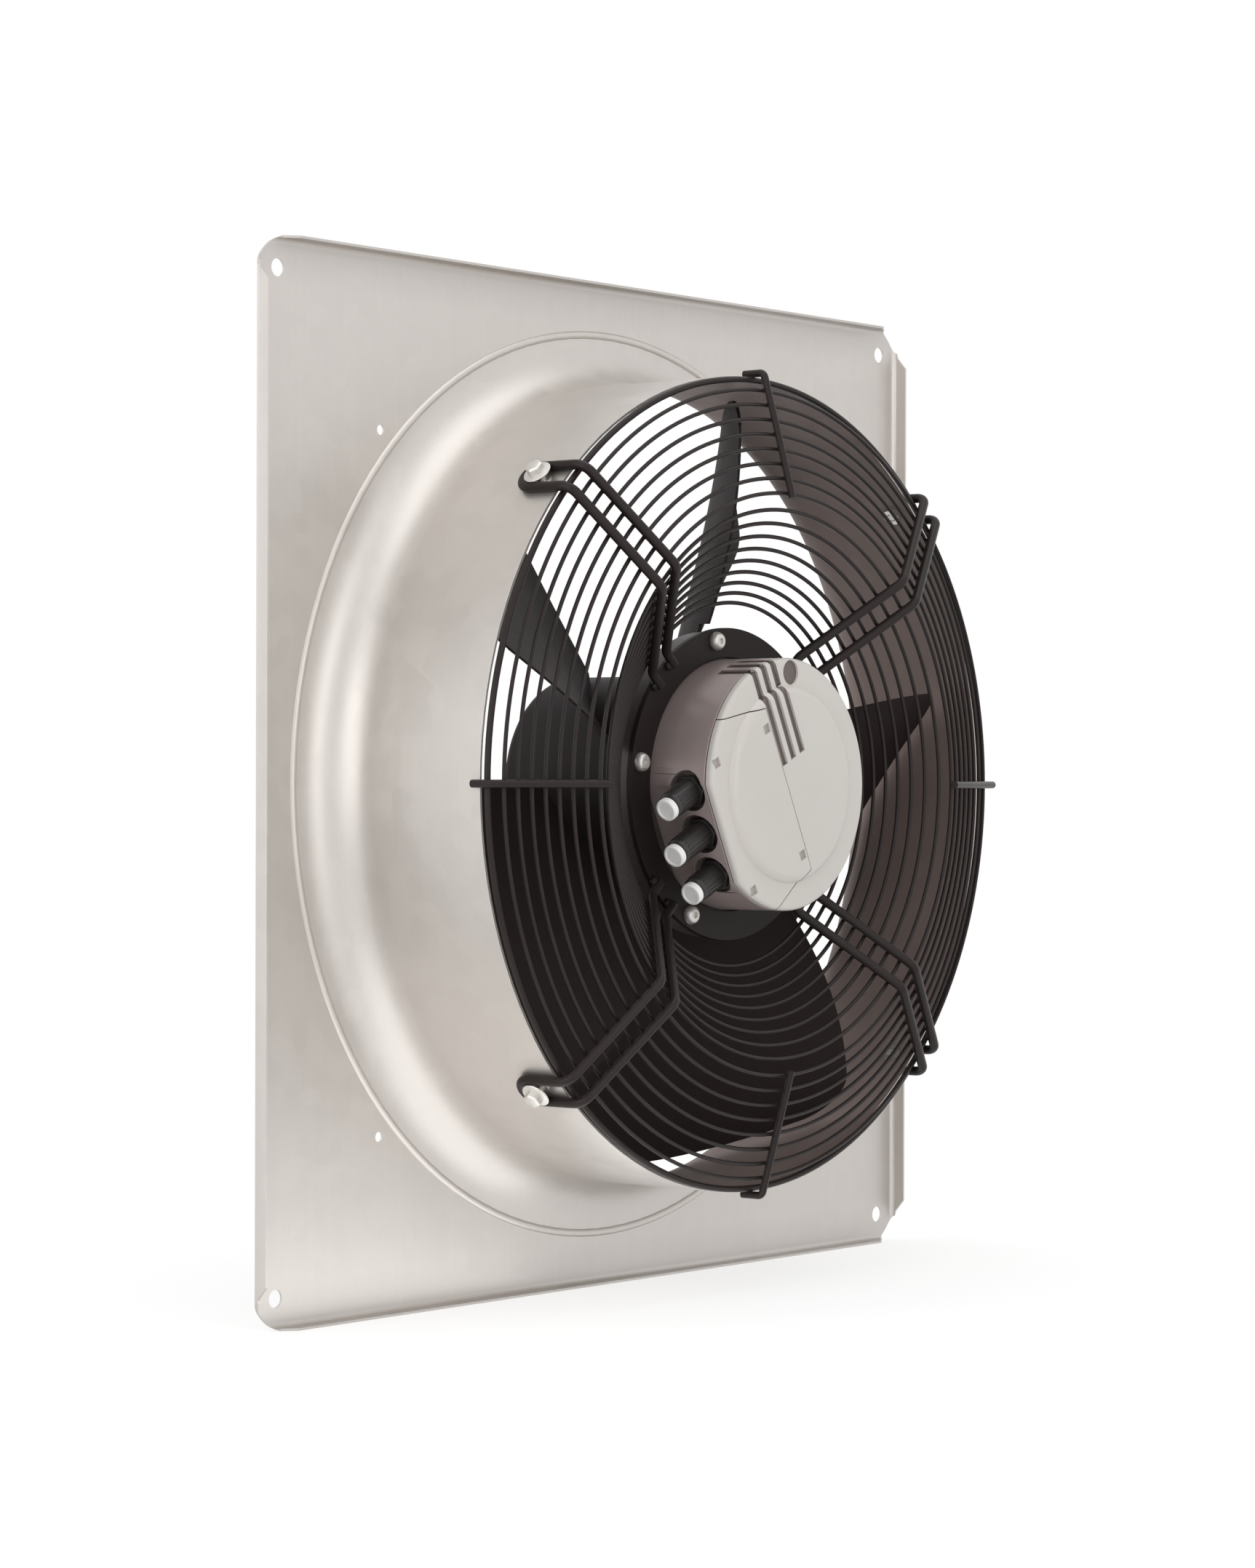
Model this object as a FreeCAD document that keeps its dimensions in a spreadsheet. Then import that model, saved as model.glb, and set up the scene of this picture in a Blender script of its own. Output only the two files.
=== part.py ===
import FreeCAD, Part
import math
import os

import Sketcher

# Axial wall fan: a square plate with a nozzle drawn out of the same sheet, a dished wire guard on four
# hairpin arms that also carry the motor, and a five-bladed impeller on an external rotor.
# The fan's axis is the Y axis, +Z is up, and the back of the plate lies on the plane Y = 0.
# Heights are measured forwards from the back of the plate, towards the motor: height h lies at Y = -h.
# Angles are counter-clockwise as seen from the motor side, from +X. Lengths are in millimetres.

SIZES = {
    # wall plate and nozzle
    "sheet": 1.5,
    "throat_radius": 257.5,
    "mouth_round": 32.0,
    "plate_margin": 35.5,
    "nozzle_front": 120.0,
    "lip_height": 12.0,
    "lip_bend": 5.0,
    "lip_end_slope": 8.0,
    "corner_cut": 20.0,
    "corner_round": 36.0,
    "mount_edge": 19.0,
    "mount_hole": 11.0,
    "trim_hole_edge": 109.5,
    "trim_hole": 6.5,
    "bead_width": 5.0,
    "bead_height": 1.5,
    # wire guard
    "arm_angle": 45.0,
    "arm_rod": 6.2,
    "arm_spread": 19.2,
    "arm_bend": 9.0,
    "loop_setback": 29.0,
    "guard_rise": 12.0,
    "dish_rise": 24.0,
    "dish_radius": 178.5,
    "foot_overlap": 4.0,
    "foot_reach": 8.0,
    "outer_ring_wire": 4.0,
    "outer_ring_lift": 4.0,
    "ring_wire": 2.6,
    "outer_slope_rings": 8,
    "inner_slope_rings": 9,
    "ring_bend_gap": 5.2,
    "ring_end_gap": 12.3,
    "ring_foot_gap": 7.6,
    "ring_bow": 2.5,
    "stiffener_rod": 4.8,
    "stiffener_bend": 4.0,
    "stiffener_hook": 8.0,
    "weld_gap": 0.05,
    # guard screws and their rivet nuts
    "guard_screw_setback": 17.0,
    "guard_screw_shank": 6.0,
    "guard_screw_flange": 18.0,
    "guard_screw_flange_height": 2.0,
    "guard_screw_head": 11.0,
    "guard_screw_head_height": 4.5,
    "guard_screw_chamfer": 1.2,
    "rivet_nut_body": 9.0,
    "rivet_nut_flange": 12.0,
    "rivet_nut_flange_height": 1.0,
    "rivet_nut_reach": 3.0,
    # flange ring and its screws
    "flange_height": 101.0,
    "flange_thickness": 4.0,
    "flange_gap": 1.0,
    "flange_width": 19.0,
    "flange_screw_count": 5,
    "flange_screw_edge": 7.7,
    "flange_screw_angle": 2.0,
    "flange_screw_shank": 6.0,
    "flange_screw_head": 12.2,
    "flange_screw_head_height": 5.0,
    "flange_screw_chamfer": 2.4,
    # motor flange with its bearing tube
    "motor_turn": 25.5,
    "motor_flange_thickness": 8.0,
    "motor_flange_inset": 2.0,
    "skirt_depth": 7.0,
    "skirt_wall": 4.0,
    "tube_wall": 5.0,
    "bearing_shoulder": 2.0,
    "lead_hole": 14.0,
    "lead_circle": 40.0,
    "lead_wire": 3.0,
    "lead_count": 3,
    "lead_pitch": 4.0,
    # bearings and what holds them
    "shaft": 15.0,
    "bearing_section": 10.0,
    "bearing_width": 11.0,
    "ball": 5.9,
    "ball_count": 8,
    "ball_gap": 0.15,
    "race_gap": 3.4,
    "cage_thickness": 2.0,
    "cage_width": 8.4,
    "front_bearing_recess": 6.0,
    "shaft_overhang": 4.0,
    "circlip_width": 1.2,
    "circlip_depth": 0.9,
    "circlip_height": 3.0,
    "circlip_edge": 0.8,
    "circlip_opening": 40.0,
    "spring_height": 2.0,
    # stator
    "yoke": 8.0,
    "tooth_length": 26.0,
    "tooth_width": 7.0,
    "tooth_count": 12,
    "shoe_thickness": 3.5,
    "shoe_angle": 25.0,
    "coil_side": 3.5,
    "coil_overhang": 5.0,
    "coil_root_gap": 1.5,
    "coil_end_clear": 6.0,
    "coil_floor_clear": 12.0,
    # rotor
    "rotor_gap": 5.0,
    "air_gap": 1.0,
    "magnet_thickness": 4.5,
    "magnet_count": 10,
    "magnet_spacing": 3.0,
    "magnet_overhang": 3.0,
    "can_length": 113.0,
    "can_floor": 5.0,
    "can_wall": 4.0,
    "can_round_room": 1.0,
    "boss_wall": 8.5,
    "boss_height": 8.0,
    "collar_wall": 2.5,
    "collar_height": 4.0,
    # impeller
    "hub_radius": 70.0,
    "hub_wall": 3.0,
    "hub_web": 3.0,
    "hub_round": 7.0,
    "hub_bore": 30.0,
    "hub_screw_count": 6,
    "hub_screw_circle": 45.0,
    "hub_screw_shank": 5.0,
    "hub_screw_head": 9.0,
    "hub_screw_head_height": 3.5,
    "hub_screw_chamfer": 1.7,
    "blade_count": 5,
    "blade_angle": 0.0,
    "root_sink": 10.5,
    "tip_gap": 5.5,
    "root_chord": 110.0,
    "middle_chord": 209.0,
    "tip_chord": 240.0,
    "root_pitch_angle": 44.6,
    "middle_pitch_angle": 40.9,
    "tip_pitch_angle": 31.6,
    "root_trail": 6.0,
    "middle_trail": 24.0,
    "tip_trail": 40.0,
    "root_setback": 44.5,
    "middle_setback": 46.5,
    "tip_setback": 56.0,
    "blade_camber": 0.07,
    "root_thickness": 5.0,
    "tip_thickness": 3.4,
    "front_corner_round": 26.0,
    "rear_corner_round": 14.0,
    "blade_clearance": 3.0,
    "blade_edge": 1.6,
    # electronics housing
    "housing_radius": 80.0,
    "housing_wall": 4.0,
    "housing_floor": 4.0,
    "housing_length": 46.0,
    # cable glands
    "gland_pitch": 29.0,
    "gland_setback": 15.0,
    "gland_recess": 26.0,
    "gland_flat": 7.5,
    "gland_recess_depth": 6.0,
    "gland_pad": 6.0,
    "gland_thread": 14.0,
    "gland_collar": 21.0,
    "gland_collar_height": 4.0,
    "gland_barrel": 16.5,
    "gland_reach": 18.0,
    "gland_bore": 10.0,
    "gland_tail": 6.0,
    "gland_nut": 20.0,
    "gland_nut_height": 4.0,
    "gland_seal_length": 12.0,
    "plug_head": 14.4,
    "plug_head_height": 4.5,
    "plug_chamfer": 1.15,
    "plug_stem": 7.0,
    "plug_stem_length": 14.0,
    # covers
    "seal_thickness": 1.0,
    "seal_inset": 0.5,
    "cover_rim_height": 5.0,
    "cover_rise": 4.0,
    "cover_rim_width": 17.5,
    "cover_wall": 3.0,
    "cover_round": 3.0,
    "disc_shoulder": 6.0,
    "cover_gap": 0.6,
    "slot_width": 5.6,
    "slot_depth": 1.8,
    "slot_count": 3,
    "slot_pitch": 9.85,
    "slot_first": -3.6,
    "slot_end": 15.4,
    "slot_reach": 27.0,
    "terminal_edge": 7.0,
    "terminal_half": 56.0,
    "terminal_flare": 0.256,
    "clip_window": 6.0,
    "clip_depth": 1.5,
    "clip_row": 44.0,
    "clip_inset": 4.5,
    "clip_rim_inset": 4.8,
    "access_angle": 64.0,
    "access_inset": 9.2,
    "access_plug": 15.6,
    "access_recess": 1.5,
    # electronics
    "board_gap": 2.0,
    "board_thickness": 1.6,
    "spacer_height": 7.0,
    "spacer": 7.0,
    "spacer_inset": 24.0,
    "spacer_count": 4,
    "spacer_angle": 45.0,
    "capacitor": 18.0,
    "capacitor_height": 25.0,
    "capacitor_count": 3,
    "capacitor_pitch": 22.0,
    "capacitor_place": 24.0,
    "terminal_block_gap": 1.5,
    "terminal_block_width": 14.0,
    "terminal_block_length": 60.0,
    "terminal_block_height": 18.0,
    # fits
    "press_gap": 0.02,
    "hole_gap": 0.3,
}

Vector = FreeCAD.Vector
FORWARD = Vector(0, -1, 0)

# The arms and the stiffeners are named in the order in which they go round.
ARM_NAMES = ("upper_right", "upper_left", "lower_left", "lower_right")
STIFFENER_NAMES = ("right", "top", "left", "bottom")
PLATE_SIDES = 4

# Cross-sections that a blade is lofted through, and the shares of the way out between which its edges
# run on straight to the tip.
BLADE_SECTIONS = 5
STRAIGHT_EDGE = (0.7, 0.9)

doc = FreeCAD.newDocument("axial_fan")
pieces = []


class Size:
    """A length, angle or count: its number, and the sheet expression that gives it."""

    def __init__(self, text, number):
        self.text = text
        self.number = float(number)

    @staticmethod
    def of(value):
        return value if isinstance(value, Size) else Size(str(value), value)

    def __add__(self, other):
        other = Size.of(other)
        return Size(f"({self.text} + {other.text})", self.number + other.number)

    def __sub__(self, other):
        other = Size.of(other)
        return Size(f"({self.text} - {other.text})", self.number - other.number)

    def __mul__(self, other):
        other = Size.of(other)
        return Size(f"({self.text} * {other.text})", self.number * other.number)

    def __truediv__(self, other):
        other = Size.of(other)
        return Size(f"({self.text} / {other.text})", self.number / other.number)

    def __radd__(self, other):
        return Size.of(other) + self

    def __rsub__(self, other):
        return Size.of(other) - self

    def __rmul__(self, other):
        return Size.of(other) * self

    def __rtruediv__(self, other):
        return Size.of(other) / self

    def __neg__(self):
        return Size(f"(-1 * {self.text})", -self.number)

    def __float__(self):
        return self.number

    def __int__(self):
        return round(self.number)

    def root(self):
        return Size(f"sqrt({self.text})", math.sqrt(self.number))


class SizeSheet:
    """Spreadsheet of the driving sizes, each read back as a Size under its alias."""

    def __init__(self, sizes):
        self.cells = doc.addObject("Spreadsheet::Sheet", "sizes")
        for row, (alias, number) in enumerate(sizes.items(), start=1):
            self.cells.set(f"A{row}", alias)
            self.cells.set(f"B{row}", str(number))
            self.cells.setAlias(f"B{row}", alias)
        doc.recompute()

    def __getattr__(self, alias):
        return Size(f"sizes.{alias}", self.cells.get(alias))


s = SizeSheet(SIZES)

# Places that several pieces share.
wall_radius = s.throat_radius + s.sheet
mouth_edge = wall_radius + s.mouth_round
plate_half = mouth_edge + s.plate_margin
guard_screw_height = s.nozzle_front - s.guard_screw_setback

flange_front = s.flange_height + s.flange_thickness
flange_inner = s.housing_radius + s.flange_gap
flange_outer = flange_inner + s.flange_width
flange_screw_circle = flange_outer - s.flange_screw_edge
motor_flange_back = s.flange_height - s.motor_flange_thickness
skirt_back = motor_flange_back - s.skirt_depth

leg_radius = wall_radius + s.arm_rod / 2 + s.weld_gap
outer_bend = s.nozzle_front + s.guard_rise
inner_bend = outer_bend + s.dish_rise
foot_height = flange_front + s.arm_rod / 2 + s.weld_gap
foot_bend = flange_outer + s.foot_reach
foot_end = flange_outer - s.foot_overlap
outer_ring_radius = leg_radius - s.arm_rod / 2 - s.outer_ring_wire / 2 - s.weld_gap

can_front = motor_flange_back - s.rotor_gap
can_back = can_front - s.can_length
can_floor_front = can_back + s.can_floor
boss_front = can_floor_front + s.boss_height
shaft_radius = s.shaft / 2
bearing_outer = shaft_radius + s.bearing_section
seat_radius = bearing_outer + s.press_gap
tube_outer = seat_radius + s.tube_wall
rear_bearing_back = boss_front + s.collar_height
rear_bearing_front = rear_bearing_back + s.bearing_width
tube_back = rear_bearing_back - s.circlip_width - s.circlip_edge
front_bearing_front = s.flange_height - s.front_bearing_recess
front_bearing_back = front_bearing_front - s.bearing_width

core_inner = tube_outer + s.press_gap
yoke_outer = core_inner + s.yoke
core_outer = yoke_outer + s.tooth_length
coil_front = motor_flange_back - s.coil_end_clear
core_front = coil_front - s.coil_overhang
core_back = can_floor_front + s.coil_floor_clear + s.coil_overhang
magnet_inner = core_outer + s.air_gap
can_inner = magnet_inner + s.magnet_thickness + s.press_gap
can_outer = can_inner + s.can_wall
hub_back = can_back - s.hub_web

housing_front = s.flange_height + s.housing_length
housing_inner = s.housing_radius - s.housing_wall
disc_radius = s.housing_radius - s.cover_rim_width
access_circle = s.housing_radius - s.access_inset
floor_front = s.flange_height + s.housing_floor
gland_height = housing_front - s.gland_setback
cover_back = housing_front + s.seal_thickness
rim_front = cover_back + s.cover_rim_height
disc_front = rim_front + s.cover_rise
board_back = floor_front + s.spacer_height
board_front = board_back + s.board_thickness


def wall_at(sideways):
    """Distance of the housing's round wall from its middle plane, at a sideways distance."""
    return (s.housing_radius * s.housing_radius - sideways * sideways).root()


gland_face = s.housing_radius - s.gland_flat
gland_seat = gland_face - s.gland_recess_depth
cavity_chord = gland_seat - s.gland_pad


# Sketches, bodies and features

def origin_part(body, role):
    return next(part for part in body.Origin.OriginFeatures if part.Role == role)


def new_body(label, turn=None):
    """Empty body of one sub-part, turned about the fan's axis."""
    body = doc.addObject("PartDesign::Body", label)
    body.Label = label
    pieces.append(body)
    if turn is not None:
        aim(body, turn)
    return body


def aim(piece, turn):
    turn = Size.of(turn)
    piece.Placement = FreeCAD.Placement(Vector(), FreeCAD.Rotation(FORWARD, turn.number))
    piece.setExpression("Placement.Rotation.Angle", turn.text)


def new_sketch(body, plane, lift=0):
    """Sketch on one of the body's own planes, lifted off it along its normal."""
    sketch = body.newObject("Sketcher::SketchObject", "outline")
    sketch.AttachmentSupport = [(origin_part(body, plane), "")]
    sketch.MapMode = "FlatFace"
    sketch.setExpression("AttachmentOffset.Base.z", Size.of(lift).text)
    return sketch


def turn_sketch(sketch, angle):
    """Turn a lifted sketch about the fan's axis."""
    lift = sketch.AttachmentOffset.Base
    turned_about = FreeCAD.Rotation(Vector(0, 0, 1), float(angle))
    sketch.AttachmentOffset = FreeCAD.Placement(lift, turned_about)
    sketch.setExpression("AttachmentOffset.Rotation.Angle", angle.text)


def bind(sketch, constraint, size):
    index = sketch.addConstraint(constraint)
    sketch.setExpression(f"Constraints[{index}]", size.text)


def pin(sketch, geometry, point, x, y):
    """Hold one point of a sketch at x, y from its origin."""
    for kind, size in (("DistanceX", Size.of(x)), ("DistanceY", Size.of(y))):
        bind(sketch, Sketcher.Constraint(kind, -1, 1, geometry, point, size.number), size)


def arc_between(start, end, radius, turn):
    """Arc of less than a half circle from start to end; turn 1 bends to the left, -1 to the right."""
    chord = end - start
    rise = math.sqrt(radius ** 2 - (chord.Length / 2) ** 2)
    left = Vector(-chord.y, chord.x, 0).normalize()
    centre = (start + end) / 2 + left * rise * turn
    if turn < 0:
        start, end = end, start
    first, last = (math.atan2(p.y - centre.y, p.x - centre.x) for p in (start, end))
    return Part.ArcOfCircle(Part.Circle(centre, Vector(0, 0, 1), radius), first, last)


def outline(sketch, corners):
    """Closed outline. A corner is x, y, or x, y, radius, turn where the edge leaving it is an arc."""
    ends = []
    for corner, after in zip(corners, corners[1:] + corners[:1]):
        start = Vector(float(corner[0]), float(corner[1]), 0)
        end = Vector(float(after[0]), float(after[1]), 0)
        if len(corner) == 2:
            ends.append((sketch.addGeometry(Part.LineSegment(start, end), False), 1, 2))
            continue
        radius, turn = Size.of(corner[2]), corner[3]
        edge = sketch.addGeometry(arc_between(start, end, radius.number, turn), False)
        bind(sketch, Sketcher.Constraint("Radius", edge, radius.number), radius)
        ends.append((edge, 1, 2) if turn > 0 else (edge, 2, 1))
    for (edge, _, last), (following, first, _) in zip(ends, ends[1:] + ends[:1]):
        sketch.addConstraint(Sketcher.Constraint("Coincident", edge, last, following, first))
    for (edge, first, _), corner in zip(ends, corners):
        pin(sketch, edge, first, corner[0], corner[1])


def rectangle(sketch, low, high):
    outline(sketch, [low, (high[0], low[1]), high, (low[0], high[1])])


def circle(sketch, x, y, diameter):
    diameter = Size.of(diameter)
    middle = Vector(float(x), float(y), 0)
    edge = sketch.addGeometry(Part.Circle(middle, Vector(0, 0, 1), diameter.number / 2), False)
    bind(sketch, Sketcher.Constraint("Diameter", edge, diameter.number), diameter)
    pin(sketch, edge, 3, x, y)


def pad(body, sketch, length, symmetric=False):
    feature = body.newObject("PartDesign::Pad", "pad")
    feature.Profile = sketch
    feature.setExpression("Length", Size.of(length).text)
    if symmetric:
        feature.SideType = "Symmetric"
    return feature


def cut(body, sketch, depth=None, outwards=False):
    """Pocket against the sketch's normal, or along it if outwards; right through where no depth is given."""
    doc.recompute()
    before = body.Tip.Shape.Volume
    feature = body.newObject("PartDesign::Pocket", "cut")
    feature.Profile = sketch
    feature.Reversed = outwards
    if depth is None:
        feature.Type = "ThroughAll"
    else:
        feature.setExpression("Length", Size.of(depth).text)
    doc.recompute()
    if feature.Shape.isNull() or feature.Shape.Volume >= before:
        raise RuntimeError(f"a pocket of {body.Label} cuts nothing")
    return feature


def turned(body, corners, sweep=360.0):
    """Solid turned about the fan's axis from corners of radius and height."""
    sketch = new_sketch(body, "XY_Plane")
    outline(sketch, [(c[0], -c[1]) if len(c) == 2 else (c[0], -c[1], c[2], -c[3]) for c in corners])
    return revolve(body, sketch, "V_Axis", sweep)


def turned_at(body, radius, corners, sideways=0):
    """Solid turned about an axis parallel to the fan's, from corners of radius and height."""
    sketch = new_sketch(body, "XY_Plane", sideways)
    outline(sketch, [(radius + c[0], -c[1]) for c in corners])
    place = float(radius)
    axis = sketch.addGeometry(Part.LineSegment(Vector(place, 0, 0), Vector(place, 1, 0)), True)
    pin(sketch, axis, 1, radius, 0)
    pin(sketch, axis, 2, radius, 1)
    return revolve(body, sketch, "Axis0")


def turned_outwards(body, height, corners, sideways=0):
    """Solid turned about an axis square to the fan's, from corners of distance along it and radius."""
    sketch = new_sketch(body, "XY_Plane", sideways)
    outline(sketch, [(c[0], c[1] - height) for c in corners])
    level = -float(height)
    axis = sketch.addGeometry(Part.LineSegment(Vector(0, level, 0), Vector(1, level, 0)), True)
    pin(sketch, axis, 1, 0, -height)
    pin(sketch, axis, 2, 1, -height)
    return revolve(body, sketch, "Axis0", 360.0)


def revolve(body, sketch, axis, sweep=360.0):
    feature = body.newObject("PartDesign::Revolution", "turned")
    feature.Profile = sketch
    feature.ReferenceAxis = (sketch, [axis])
    feature.setExpression("Angle", Size.of(sweep).text)
    feature.Midplane = True
    return feature


def ring_of(body, features, count):
    """Copies of the features all round the fan's axis."""
    pattern = body.newObject("PartDesign::PolarPattern", "ring_of")
    pattern.Originals = features
    pattern.Axis = (origin_part(body, "Y_Axis"), [""])
    pattern.Angle = 360
    pattern.setExpression("Occurrences", Size.of(count).text)
    body.Tip = pattern
    return pattern


def row_of(body, features, count, length):
    """Copies of the features in a row along the body's Z axis."""
    pattern = body.newObject("PartDesign::LinearPattern", "row_of")
    pattern.Originals = features
    pattern.Direction = (origin_part(body, "Z_Axis"), [""])
    pattern.setExpression("Length", Size.of(length).text)
    pattern.setExpression("Occurrences", count.text)
    body.Tip = pattern
    return pattern


def shaped(label, shape, turn=0):
    """Sub-part whose shape is swept or lofted in space."""
    piece = doc.addObject("Part::Feature", label)
    piece.Label = label
    piece.Shape = shape
    aim(piece, turn)
    pieces.append(piece)
    return piece


def bent_rod(corners, bend, diameter, loop_after=None):
    """Round rod through the corners, each rounded by the bend radius.

    loop_after is the number of the corner after which the rod turns back in a half circle to the next.
    """
    edges = []
    here = corners[0]
    last = len(corners) - 1
    for index in range(1, last + 1):
        corner = corners[index]
        if index - 1 == loop_after:
            out = (corners[index - 1] - corners[index - 2]).normalize()
            apex = (here + corner) / 2 + out * (corner - here).Length / 2
            edges.append(Part.Arc(here, apex, corner).toShape())
            here = corner
            continue
        if index == last or index == loop_after:
            edges.append(Part.LineSegment(here, corner).toShape())
            here = corner
            continue
        inwards = (here - corner).normalize()
        onwards = (corners[index + 1] - corner).normalize()
        half = inwards.getAngle(onwards) / 2
        start = corner + inwards * (bend / math.tan(half))
        end = corner + onwards * (bend / math.tan(half))
        middle = corner + (inwards + onwards).normalize() * (bend / math.sin(half) - bend)
        edges.append(Part.LineSegment(here, start).toShape())
        edges.append(Part.Arc(start, middle, end).toShape())
        here = end
    path = Part.Wire(edges)
    section = Part.Circle(corners[0], corners[1] - corners[0], diameter / 2).toShape()
    rod = path.makePipeShell([Part.Wire(section)], True, False)
    expected = math.pi * diameter ** 2 / 4 * path.Length
    if abs(rod.Volume - expected) > expected / 100:
        raise RuntimeError("a bent rod has the wrong volume")
    return rod


# Wall plate

def wall_plate():
    """Square plate with forward lips and the inlet nozzle, drawn from one sheet."""
    body = new_body("wall_plate")
    flat_half = plate_half - s.lip_bend
    lip_half = plate_half - s.corner_cut
    mount = plate_half - s.mount_edge
    trim = plate_half - s.trim_hole_edge
    flat = new_sketch(body, "XZ_Plane")
    rectangle(flat, (-flat_half, -flat_half), (flat_half, flat_half))
    circle(flat, 0, 0, 2 * mouth_edge)
    for side in (-1, 1):
        for level in (-1, 1):
            circle(flat, side * mount, level * mount, s.mount_hole)
            circle(flat, side * trim, level * trim, s.trim_hole)
    pad(body, flat, s.sheet)

    mouth_end = s.sheet + s.mouth_round
    turned(body, [
        (mouth_edge, 0, s.mouth_round + s.sheet, -1),
        (s.throat_radius, mouth_end),
        (s.throat_radius, s.nozzle_front),
        (wall_radius, s.nozzle_front),
        (wall_radius, mouth_end, s.mouth_round, 1),
        (mouth_edge, s.sheet),
    ])
    bead_end = mouth_edge + s.bead_width
    bead_round = (s.bead_width * s.bead_width / 4 + s.bead_height * s.bead_height) / (2 * s.bead_height)
    turned(body, [
        (mouth_edge, s.sheet / 2),
        (bead_end, s.sheet / 2),
        (bead_end, s.sheet, bead_round, 1),
        (mouth_edge, s.sheet),
    ])

    bend_sketch = new_sketch(body, "XY_Plane")
    outline(bend_sketch, [
        (flat_half, 0, s.lip_bend, -1),
        (plate_half, -s.lip_bend),
        (plate_half - s.sheet, -s.lip_bend, s.lip_bend - s.sheet, 1),
        (flat_half, -s.sheet),
    ])
    bend = pad(body, bend_sketch, 2 * (flat_half - s.sheet), symmetric=True)
    lip_sketch = new_sketch(body, "YZ_Plane", plate_half - s.sheet)
    lip_end = lip_half - s.lip_end_slope
    outline(lip_sketch, [
        (-s.lip_bend, -lip_half), (-s.lip_height, -lip_end),
        (-s.lip_height, lip_end), (-s.lip_bend, lip_half),
    ])
    lip = pad(body, lip_sketch, s.sheet)
    ring_of(body, [bend, lip], PLATE_SIDES)
    clear = plate_half + s.corner_cut
    corner = new_sketch(body, "XZ_Plane", s.lip_height)
    outline(corner, [
        (plate_half, lip_half, s.corner_round, 1), (lip_half, plate_half),
        (lip_half, clear), (clear, clear), (clear, lip_half),
    ])
    ring_of(body, [cut(body, corner)], PLATE_SIDES)

    nut_sketch = new_sketch(body, "YZ_Plane")
    to_arm = FreeCAD.Rotation(Vector(-1, 0, 0), float(s.arm_angle))
    nut_sketch.AttachmentOffset = FreeCAD.Placement(Vector(), to_arm)
    nut_sketch.setExpression("AttachmentOffset.Rotation.Angle", s.arm_angle.text)
    circle(nut_sketch, -guard_screw_height, 0, s.rivet_nut_body + 2 * s.press_gap)
    ring_of(body, [cut(body, nut_sketch, outwards=True)], len(ARM_NAMES))


# Guard

def at(radius, height, sideways=0):
    """Point in a guard piece's own frame, whose X axis points outwards along the piece."""
    return Vector(float(radius), -float(height), float(sideways))


def guard_arms():
    """Hairpins of round rod: feet on the flange ring, loops on the nozzle's outer wall."""
    half = s.arm_spread / 2
    loop_height = s.nozzle_front - s.loop_setback + half
    run = [
        (foot_end, foot_height), (foot_bend, foot_height), (s.dish_radius, inner_bend),
        (leg_radius, outer_bend), (leg_radius, loop_height),
    ]
    corners = [at(radius, height, half) for radius, height in run]
    corners += [at(radius, height, -half) for radius, height in reversed(run)]
    rod = bent_rod(corners, float(s.arm_bend), float(s.arm_rod), loop_after=len(run) - 1)
    for index, name in enumerate(ARM_NAMES):
        shaped(f"{name}_guard_arm", rod, s.arm_angle + index * 360 / len(ARM_NAMES))


def slope_rings(label, count, inner, outer, bow, height_at):
    """Rings of wire laid behind one slope of the arms, by the bow closer together towards the inner end."""
    steps = int(count) - 1
    rings = []
    for index in range(steps + 1):
        share = index / steps
        radius = inner + (outer - inner) * share - bow * (4 * share * (1 - share))
        ring = doc.addObject("Part::Torus", "ring")
        around = (radius * radius + s.arm_spread * s.arm_spread / 4).root()
        ring.setExpression("Radius1", around.text)
        ring.setExpression("Radius2", (s.ring_wire / 2).text)
        ring.Placement = FreeCAD.Placement(Vector(), FreeCAD.Rotation(Vector(1, 0, 0), 90))
        ring.setExpression("Placement.Base.y", (-height_at(radius)).text)
        rings.append(ring)
    group = doc.addObject("Part::Compound", label)
    group.Label = label
    group.Links = rings
    pieces.append(group)


outer_run = leg_radius - s.dish_radius
outer_slope = (outer_run * outer_run + s.dish_rise * s.dish_rise).root() / outer_run
inner_run = s.dish_radius - foot_bend
inner_rise = inner_bend - foot_height
inner_slope = (inner_run * inner_run + inner_rise * inner_rise).root() / inner_run
ring_drop = s.arm_rod / 2 + s.ring_wire / 2 + s.weld_gap


def outer_slope_height(radius):
    """Height of a ring's centre under the outer slope of the arms."""
    return outer_bend + (leg_radius - radius) * s.dish_rise / outer_run - ring_drop * outer_slope


def inner_slope_height(radius):
    """Height of a ring's centre under the inner slope of the arms."""
    return inner_bend - (s.dish_radius - radius) * inner_rise / inner_run - ring_drop * inner_slope


def guard_rings():
    slope_rings("guard_outer_slope_rings", s.outer_slope_rings, s.dish_radius + s.ring_bend_gap,
                leg_radius - s.ring_end_gap, 0, outer_slope_height)
    slope_rings("guard_inner_slope_rings", s.inner_slope_rings, foot_bend + s.ring_foot_gap,
                s.dish_radius - s.ring_bend_gap, s.ring_bow, inner_slope_height)
    rim = doc.addObject("Part::Torus", "guard_outer_ring")
    rim.Label = "guard_outer_ring"
    rim.setExpression("Radius1", outer_ring_radius.text)
    rim.setExpression("Radius2", (s.outer_ring_wire / 2).text)
    rim.Placement = FreeCAD.Placement(Vector(), FreeCAD.Rotation(Vector(1, 0, 0), 90))
    rim.setExpression("Placement.Base.y", (-(s.nozzle_front + s.outer_ring_lift)).text)
    pieces.append(rim)


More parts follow.
